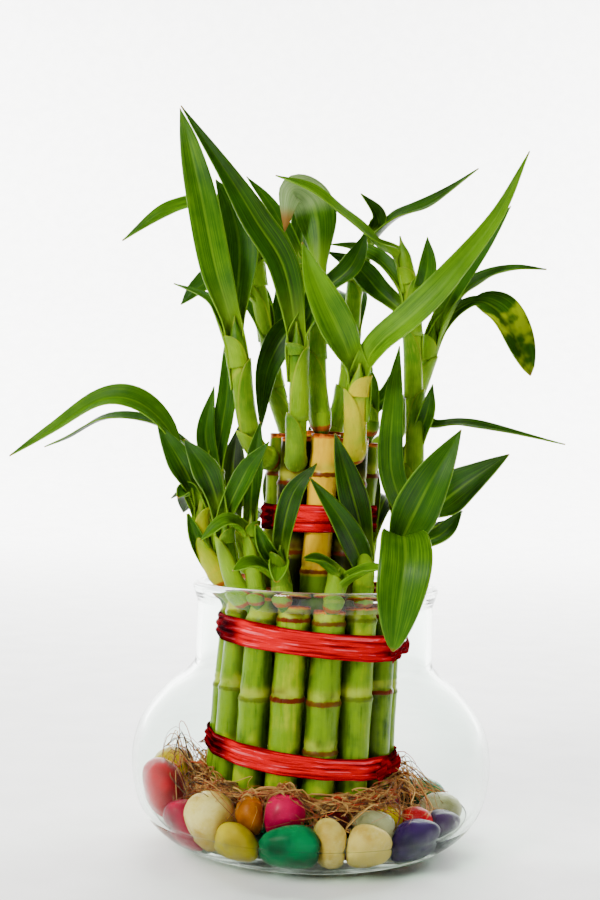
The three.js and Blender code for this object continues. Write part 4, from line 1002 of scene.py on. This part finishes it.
def make_cane(tier, k, top, joints, material, slot, seed, scar):
    """A cut cane with swollen nodes, each with a ridge and a groove over it."""
    chance = random.Random(seed)
    radius = tier.radius
    heights = np.arange(FOOT_HEIGHT + 0.6, top - 0.5, CANE_STEP)
    size = np.full(heights.shape, radius - 0.25)
    ring_mark = np.zeros(heights.shape)
    pale_mark = np.zeros(heights.shape)
    for joint in joints:
        size += NODE_SWELL * hump(heights, joint, SWELL_REACH)
        size += NODE_SWELL * hump(heights, joint, RIDGE_REACH)
        size -= NODE_SWELL * hump(heights, joint + GROOVE_RISE, RIDGE_REACH)
        ring_mark = np.maximum(ring_mark, hump(heights, joint + 0.2, 0.8))
        pale_mark = np.maximum(pale_mark, hump(heights, joint + 2.2, 1.6))
    foot = [(0.05, FOOT_HEIGHT + 0.3), (radius * 0.8, FOOT_HEIGHT), (radius - 0.5, FOOT_HEIGHT + 0.2)]
    cut = [(0.98, -0.25), (0.93, 0.0), (0.86, -0.15), (0.8, -0.5), (0.5, -0.6), (0.02, -0.5)]
    cut = [(radius * share, top + drop) for share, drop in cut]
    profile = np.array([*foot, *zip(size, heights), *cut])
    rings = lathe(profile, CANE_SIDES)
    turn = round_turn(CANE_SIDES)
    oval = 1 + 0.018 * np.cos(2 * turn + 6 * chance.random())
    oval += 0.01 * np.cos(3 * turn + 6 * chance.random())
    rings[..., :2] *= oval[:, None]
    rings[-len(cut) :, :, 2] += CUT_SLANT * np.cos(turn + 6 * chance.random())
    azimuth = math.radians(tier.first_azimuth + 360 * k / len(tier.nodes))
    rings[..., 0] += tier.ring * math.cos(azimuth)
    rings[..., 1] += tier.ring * math.sin(azimuth)
    stand(rings, tier)
    high = profile[:, 1:]
    top_mark = ease(high, top - 2.5, top - 0.2)
    foot_mark = 0.6 * (1 - ease(high, FOOT_HEIGHT, FOOT_HEIGHT + 2))
    shape = Shape("ring", "pale", "scar", "top", "tone", "unripe", "gap")
    shape.grid(
        rings,
        capped=True,
        ring=np.pad(ring_mark, (len(foot), len(cut)))[:, None],
        pale=np.pad(pale_mark, (len(foot), len(cut)))[:, None],
        scar=scar,
        top=np.maximum(top_mark, foot_mark),
        tone=0.34 + 0.3 * chance.random(),
        unripe=1 - ease(high, joints[0] - 1, joints[0]) if slot == "cane_yellow" else 0.0,
        # painted shade on the sides that face the neighbouring canes
        gap=ease(abs(np.sin(turn - azimuth)), 0.7, 1.0),
    )
    shape.piece(tier.nodes[k] + "_cane", material, [tier.nodes[k]], slot)


for k, top in enumerate(OUTER_TOPS):
    joints = [FRONT_JOINT, *OUTER_JOINTS] if k == 0 else [height + (k % 3) * 0.8 for height in OUTER_JOINTS]
    scar = OUTER_SCARS.get(k, PLAIN_SCAR)
    make_cane(OUTER, k, top, joints, GREEN_CANE, "cane_green", seed=k, scar=scar)
    grow_shoots(OUTER.nodes[k], "cane_green", seed=100 + k)

for k in range(INNER_CANES):
    slot = "cane_yellow" if k == 0 else "cane_green"
    skin = INNER_SKINS.get(k, GREEN_CANE)
    make_cane(INNER, k, INNER_TOP - k % 3, INNER_JOINTS[k % 2], skin, slot, seed=50 + k, scar=INNER_SCAR)
    grow_shoots(INNER.nodes[k], slot, seed=200 + k)

make_cane(CENTRE, 0, INNER_TOP + 1, CENTRE_JOINTS, GREEN_CANE, "cane_green", seed=70, scar=CENTRE_SCAR)
grow_shoots("cane_centre", "cane_green", seed=300)

# Glass bowl and water

BELLY = [
    (BOWL_BASE_RADIUS, 0),
    (45, 4.6),
    (52.6, 13.5),
    (BOWL_BELLY_RADIUS, 26),
    (52.8, 37.5),
    (46, 47),
    (39.5, 52.4),
    (BOWL_NECK_RADIUS + 0.2, BOWL_CREASE_HEIGHT),
]
BELLY_STEPS = 64
LIP_HALF_HEIGHT = 1.6
LIP_DEPTH = 5  # how far down from the rim the glass shows as bright as the lip
NECK_TOP = BOWL_HEIGHT - 6
WATER_BITE = 0.08  # how far the water reaches into the glass, so that no film of air shows

outer_belly, belly_runs = smooth_line(BELLY, np.linspace(0, 1, BELLY_STEPS))
inner_belly = outer_belly + BOWL_WALL * np.stack([-belly_runs[:, 1], belly_runs[:, 0]], -1)
floor_height = inner_belly[0, 1]


def make_bowl():
    """The blown bowl as one closed wall: belly, sharp shoulder, neck and rolled lip."""
    neck_inside = BOWL_NECK_RADIUS - BOWL_WALL
    lip_middle = (BOWL_LIP_RADIUS + neck_inside) / 2
    lip_half = (BOWL_LIP_RADIUS - neck_inside) / 2
    roll = [
        (lip_middle + lip_half * math.cos(turn), BOWL_HEIGHT + LIP_HALF_HEIGHT * (math.sin(turn) - 1))
        for turn in np.linspace(-0.5, math.pi + 0.2, 14)
    ]
    profile = [
        (AXIS_RADIUS, 0.6),
        (BOWL_BASE_RADIUS - 6, 0.5),
        (BOWL_BASE_RADIUS - 4, 0),
        *outer_belly,
        (BOWL_NECK_RADIUS + 0.3, BOWL_CREASE_HEIGHT + 0.4),
        (BOWL_NECK_RADIUS, BOWL_CREASE_HEIGHT + 0.8),
        (BOWL_NECK_RADIUS, BOWL_CREASE_HEIGHT + 1.7),
        (BOWL_NECK_RADIUS, NECK_TOP),
        *roll,
        (neck_inside, NECK_TOP),
        (neck_inside, BOWL_CREASE_HEIGHT + 0.8),
        *inner_belly[::-1][1:],
        (AXIS_RADIUS, floor_height),
    ]
    shape = Shape()
    shape.grid(lathe(profile), capped=True)
    wall = glass_material("bowl_wall_glass", WALL_REFRACTION, DIM_MIRROR)
    bowl = shape.piece("glass_bowl_wall", wall, ["glass_bowl"], "bowl_glass")
    bowl.data.materials.append(glass_material("bowl_lip_glass", LIP_REFRACTION, FULL_MIRROR))
    for face in bowl.data.polygons:
        face.material_index = int(face.center.z / MM > BOWL_HEIGHT - LIP_DEPTH)


def make_water():
    """The water up to its level, with a slight rise where it meets the glass."""
    wet = inner_belly[inner_belly[:, 1] < WATER_LEVEL]
    lower = inner_belly[: BELLY_STEPS // 3]
    shore = np.interp(WATER_LEVEL, lower[:, 1], lower[:, 0]) + WATER_BITE
    profile = [
        (AXIS_RADIUS, floor_height - 0.05),
        *(wet + (WATER_BITE, -0.05)),
        (shore, WATER_LEVEL + 0.5),
        (shore - 0.6, WATER_LEVEL + 0.15),
        (shore - 2, WATER_LEVEL),
        (AXIS_RADIUS, WATER_LEVEL),
    ]
    shape = Shape()
    shape.grid(lathe(profile), capped=True)
    shape.piece("water_pool", water_material(), ["water"], "water")


make_bowl()
make_water()

# Pebbles

# Each kind's main colour, its darker clouds and its lighter veins
PEBBLE_LOOKS = {
    "red": ("CE0C34", "940420", "E24456"),
    "magenta": ("C4005A", "8C0040", "DC2C7C"),
    "pink": ("DA0070", "A80052", "EA3C8C"),
    "maroon": ("5A0C16", "35060C", "8A2830"),
    "cream": ("E2CC86", "C6A450", "F4E6B0"),
    "yellow": ("D0BA00", "B29A00", "E2CE10"),
    "amber": ("CC8600", "965A00", "E4B02A"),
    "orange": ("D07004", "9C4A04", "E8A040"),
    "green": ("009468", "006444", "20B084"),
    "purple": ("52346E", "32204A", "84709E"),
    "plum": ("4E2C5E", "2E183A", "84609A"),
    "blue": ("2E4A8A", "1C2E5E", "6C86BC"),
    "grey": ("BEB99A", "96906E", "DEDAC6"),
    "white": ("DAD6C2", "B4AE94", "F2EFE2"),
}
PEBBLE_DETAIL = 2
WELD_REACH = 0.00001


def smooth_copy(source):
    """A rounded copy of a faceted CAD solid that fills the same box."""
    rough = source.data.copy()
    helper = bpy.data.objects.new("helper", rough)
    bpy.context.scene.collection.objects.link(helper)
    helper.modifiers.new("weld", "WELD").merge_threshold = WELD_REACH
    helper.modifiers.new("rounder", "SUBSURF").levels = PEBBLE_DETAIL
    view = bpy.context.evaluated_depsgraph_get()
    mesh = bpy.data.meshes.new_from_object(helper.evaluated_get(view))
    bpy.data.objects.remove(helper)
    bpy.data.meshes.remove(rough)
    places = np.array([v.co for v in mesh.vertices])
    old_low, old_high = (np.array(corner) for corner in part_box(source.name))
    low, high = places.min(0), places.max(0)
    places = old_low + (places - low) / (high - low) * (old_high - old_low)
    mesh.vertices.foreach_set("co", places.astype(np.float32).ravel())
    mesh.polygons.foreach_set("use_smooth", [True] * len(mesh.polygons))
    mesh.update()
    return mesh


pebble_nodes = sorted(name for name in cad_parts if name.startswith("pebble_"))
pebble_paints = {}
for node in pebble_nodes:
    kind = node.split("_")[1]
    if kind not in pebble_paints:
        pebble_paints[kind] = pebble_material("pebble_" + kind, *PEBBLE_LOOKS[kind])
    stone = smooth_copy(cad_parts[node])
    stone.materials.clear()
    stone.materials.append(pebble_paints[kind])
    dress(bpy.data.objects.new(node + "_stone", stone), [node])

# Ribbons: a gathered band of satin round the canes, with a knot and two tails

RIBBON_STATIONS = 420
RIBBON_ROWS = 15
RIBBON_CLEARANCE = 0.15  # between a band and the canes
RIBBON_SHADED_ENDS = [(3.4, 0.55), (6.1, 0.45)]  # azimuth and reach of each end in painted shade, in radians
RIBBONS = [
    # name, tier, height, tilt, width and the knot's azimuth
    ("ribbon_lower", OUTER, 29.7, -0.1, 6.5, -32),
    ("ribbon_middle", OUTER, 65, -0.09, 7.6, -26),
    ("ribbon_upper", INNER, 100.6, 0, 8, -60),
]
KNOT_ROWS = 17
KNOT_SIDES = 28
KNOT_HALF_DEPTH = 1.7
KNOT_HALF_LENGTH = 2.7
KNOT_HALF_HEIGHT = 0.42  # as a share of the band's width
# share of painted shade over the knot and its tails
KNOT_SHADE = 0.8
TAIL_ROWS = 14
TAIL_COLUMNS = 7
TAIL_THICKNESS = 0.3


def hull_radius(turn, tier):
    """Distance from the axis to a band pulled tight round a ring of canes."""
    ring, radius = tier.ring, tier.radius
    half = math.pi / len(tier.nodes)
    between = (turn - math.radians(tier.first_azimuth)) % (2 * half) - half
    flat = ring * math.cos(half) + radius
    reach = math.atan(ring * math.sin(half) / flat)
    aside = half - np.abs(between)
    round_part = ring * np.cos(aside) + np.sqrt(radius**2 - (ring * np.sin(aside)) ** 2 * (aside < 0.3))
    return np.where(np.abs(between) < reach, flat / np.cos(between), round_part)


def place_on_tier(points, tier, height, tilt):
    """Moves points that surround the axis at height 0 to their height on the leaning bundle."""
    points[..., 2] += height + tilt * points[..., 0]
    stand(points, tier)


def make_ribbon(node, tier, height, tilt, width, knot, seed):
    """A gathered band with rolled edges, tied in front."""
    chance = random.Random(seed)
    turn = round_turn(RIBBON_STATIONS)
    base = hull_radius(turn, tier) + RIBBON_CLEARANCE
    across = np.linspace(-1, 1, RIBBON_ROWS)[:, None]
    phase = [6 * chance.random() for _ in range(4)]
    wander = 0.5 * np.sin(3 * turn + phase[0]) + 0.3 * np.sin(7 * turn + phase[1])
    creases = 0.5 + 0.5 * np.cos(2 * math.pi * (1.5 * across + 0.35 * wander))
    creases = creases * (0.6 + 0.4 * np.sin(5 * turn + phase[2] + 2 * across))
    puff = 0.75 * creases + 0.25 * (1 - across**2)
    out = np.concatenate([base + 0.2 + puff, np.broadcast_to(base, puff.shape)])
    high = 0.5 * width * across * (1 + 0.04 * np.sin(4 * turn + phase[3]))
    high = np.concatenate([high, 0.98 * high[::-1]])
    band = np.stack([out * np.cos(turn), out * np.sin(turn), high], -1)
    place_on_tier(band, tier, height, tilt)
    shape = Shape("along", "across", "dusk")
    shape.grid(
        band,
        looped=True,
        along=turn * (tier.ring + tier.radius),
        across=np.vstack([across, across[::-1]]),
        dusk=sum(1 - ease(abs(turn - middle), reach * 0.6, reach) for middle, reach in RIBBON_SHADED_ENDS),
    )
    azimuth = math.radians(knot)
    knot_radius = np.interp(azimuth % (2 * math.pi), turn, base) + 1
    add_knot(shape, knot_radius, width, azimuth, (tier, height, tilt), chance)
    satin = shape.piece(node + "_satin", SATIN, [node], "ribbon")


def add_knot(shape, radius, width, azimuth, stance, chance):
    """A lumpy knot with creases, and two short tails that stand off the band."""
    polar = np.linspace(0.02, math.pi - 0.02, KNOT_ROWS)[:, None]
    turn = round_turn(KNOT_SIDES)
    lump = 1 + 0.1 * np.sin(3 * turn + 2 * polar) + 0.08 * np.cos(5 * polar + turn)
    ball = [
        radius + KNOT_HALF_DEPTH * lump * np.sin(polar) * np.cos(turn),
        KNOT_HALF_LENGTH * lump * np.sin(polar) * np.sin(turn),
        KNOT_HALF_HEIGHT * width * lump * np.cos(polar),
    ]
    parts = [(np.stack(ball, -1), np.cos(polar))]
    edge = np.linspace(-1, 1, TAIL_COLUMNS)
    shares = np.linspace(0, 1, TAIL_ROWS)
    for side in (-1, 1):
        bend = (radius + 1.4, side * 3.4, side * 0.6)
        tip = (radius + 1.0, side * 7, side * 1.8)
        places, directions = smooth_line([(radius, 0, 0), bend, tip], shares)
        across, out = axes_along(directions, (1, 0, 0))
        aside = (1.7 + 0.5 * shares[:, None]) * edge
        ripple = 0.3 * np.sin(3 * edge + 5 * shares[:, None] + 6 * chance.random())
        sheet = places[:, None] + aside[..., None] * across[:, None] + ripple[..., None] * out[:, None]
        skin = sheet + TAIL_THICKNESS * out[:, None]
        parts.append((np.concatenate([sheet, skin[:, ::-1]], 1), np.concatenate([edge, edge[::-1]])))
    cosine, sine = math.cos(azimuth), math.sin(azimuth)
    for points, across in parts:
        turned = points @ np.array([[cosine, sine, 0], [-sine, cosine, 0], [0, 0, 1]])
        place_on_tier(turned, *stance)
        along = 8 * np.linspace(0, 1, len(points))[:, None]
        shape.grid(turned, capped=True, along=along, across=across, dusk=KNOT_SHADE)


for number, ribbon in enumerate(RIBBONS):
    make_ribbon(*ribbon, seed=400 + number)

# Roots: a tangle round the canes' feet that lies on the pebbles

ROOT_STRANDS = 700
COLLAR_STRANDS = 120
ROOT_POINTS = 7  # that a strand's line runs through
COLLAR_POINTS = 6
ROOT_SIDES = 5
ROOT_STEPS = 18
ROOT_LIMIT = 46  # distance from the bowl's middle that no root passes, in millimetres
ROOT_COLLAR = OUTER_RING_RADIUS + OUTER_CANE_RADIUS + 0.6  # radius that the roots spring from
ROOT_SEED = 11
ROOT_CLEARANCE = 0.5  # between a root's middle and the pebbles


def pebble_surface():
    """A search tree of the pebbles' CAD faces."""
    corners = []
    faces = []
    for node in pebble_nodes:
        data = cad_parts[node].data
        first = len(corners)
        corners.extend(v.co.copy() for v in data.vertices)
        faces.extend([first + i for i in face.vertices] for face in data.polygons)
    return BVHTree.FromPolygons(corners, faces)


def surface_height(tree, x, y):
    """Height of the pebbles under a spot, in millimetres, and the floor's where it is bare."""
    hit = tree.ray_cast(Vector((x * MM, y * MM, BOWL_HEIGHT * MM)), Vector((0, 0, -1)))[0]
    return hit.z / MM if hit else floor_height


def root_point(tree, turn, out, low, rise):
    """A spot on the pebbles, at an angle and a distance from the bundle, raised by rise."""
    x = FOOT_SHIFT + out * math.cos(turn)
    y = out * math.sin(turn)
    inward = min(1, ROOT_LIMIT / math.hypot(x, y))
    x, y = x * inward, y * inward
    return x, y, max(surface_height(tree, x, y) + ROOT_CLEARANCE, low) + rise


def make_roots():
    """Wiry strands that leave the canes' feet and curl over the pebbles, and a collar of more."""
    chance = random.Random(ROOT_SEED)
    tree = pebble_surface()
    shape = Shape("seed")
    for i in range(ROOT_STRANDS):
        angle = 2 * math.pi * (i + chance.random()) / ROOT_STRANDS
        aside = abs(math.cos(angle))
        length = 4 + (4 + 12 * aside) * chance.random() ** 1.6
        drift = 1.5 * (chance.random() - 0.5)
        lift = 0.5 + (2.5 + 8 * aside**2) * chance.random() ** 2
        points = []
        for share in np.linspace(0, 1, ROOT_POINTS):
            turn = angle + drift * share + 0.09 * math.sin(11 * share + i)
            out = ROOT_COLLAR - 1.8 + length * share + 0.7 * math.sin(8 * share + 2 * i)
            rise = lift * math.sin(math.pi * min(1, 1.15 * share)) + 0.8 * chance.random()
            points.append(root_point(tree, turn, out, 20 - 7 * share, rise))
        size = 0.1 + 0.26 * chance.random() ** 2.5
        radii = size * (1 - 0.6 * np.linspace(0, 1, ROOT_STEPS))
        shape.grid(tube(points, radii, ROOT_SIDES, ROOT_STEPS), capped=True, seed=chance.random())
    for i in range(COLLAR_STRANDS):
        angle = 2 * math.pi * (i + chance.random()) / COLLAR_STRANDS
        span = 0.4 + 0.7 * chance.random()
        points = []
        for share in np.linspace(0, 1, COLLAR_POINTS):
            out = ROOT_COLLAR + 1.6 * chance.random() + 1.6 * math.sin(math.pi * share)
            points.append(root_point(tree, angle + span * share, out, 17.5, 3.4 * chance.random()))
        size = 0.2 + 0.26 * chance.random()
        shape.grid(tube(points, size, ROOT_SIDES, ROOT_STEPS), capped=True, seed=chance.random())
    shape.piece("roots_tangle", root_material(), ["roots"], "roots")


make_roots()

# Floor and light, in metres

SWEEP_HALF_WIDTH = 4.0
SWEEP_PROFILE = [(-3.0, 0), (1.5, 0), (2.2, 0.12), (2.7, 0.5), (3.0, 1.1), (3.1, 3.5)]
ROOM_LIGHT = 0.12
AIM = (0, 0, 0.12)
KEY_POWER = 2.1
SWEEP_POWER = 290
FLOOR_POWER = 85


def make_floor():
    """A pale sweep that curves up far behind the object."""
    corners = [(x, y, z) for y, z in SWEEP_PROFILE for x in (-SWEEP_HALF_WIDTH, SWEEP_HALF_WIDTH)]
    faces = [[2 * i, 2 * i + 1, 2 * i + 3, 2 * i + 2] for i in range(len(SWEEP_PROFILE) - 1)]
    mesh = bpy.data.meshes.new("floor")
    mesh.from_pydata(corners, [], faces)
    mesh.materials.append(floor_material())
    mesh.polygons.foreach_set("use_smooth", [True] * len(faces))
    floor = bpy.data.objects.new("floor", mesh)
    bpy.context.scene.collection.objects.link(floor)


def add_lamp(name, place, aim, size, power, colour=(1, 1, 1), spread=180, mirrored=False):
    """A softbox, wide and high as size says. mirrored lets glass and gloss show it."""
    lamp = bpy.data.lights.new(name, "AREA")
    lamp.shape = "RECTANGLE"
    lamp.size, lamp.size_y = size
    lamp.spread = math.radians(spread)
    lamp.energy = power
    lamp.color = colour
    holder = bpy.data.objects.new(name, lamp)
    holder.location = place
    toward = Vector(aim) - Vector(place)
    holder.rotation_euler = toward.to_track_quat("-Z", "Y").to_euler()
    holder.visible_glossy = mirrored
    holder.visible_transmission = False  # glass passes lamp light on as shadow rays already
    bpy.context.scene.collection.objects.link(holder)


def light_room():
    """A warm key lamp from the left, two lamps on the sweep and one on the floor behind."""
    world = bpy.data.worlds.new("studio")
    world.use_nodes = True
    backdrop = world.node_tree.nodes["Background"]
    backdrop.inputs["Color"].default_value = (1, 1, 1, 1)
    backdrop.inputs["Strength"].default_value = ROOM_LIGHT
    bpy.context.scene.world = world
    add_lamp("key", (-0.6, -0.8, 0.9), AIM, (0.2, 0.7), KEY_POWER, (1, 0.98, 0.93), 50, mirrored=True)
    for side in (-1, 1):
        add_lamp(f"sweep_{side}", (1.7 * side, 1.2, 1.6), (0.7 * side, 3.0, 0.5), (1.0, 1.0), SWEEP_POWER)
    add_lamp("floor_behind", (0, 1.3, 1.7), (0, 1.2, 0), (1.2, 1.2), FLOOR_POWER)


make_floor()
light_room()
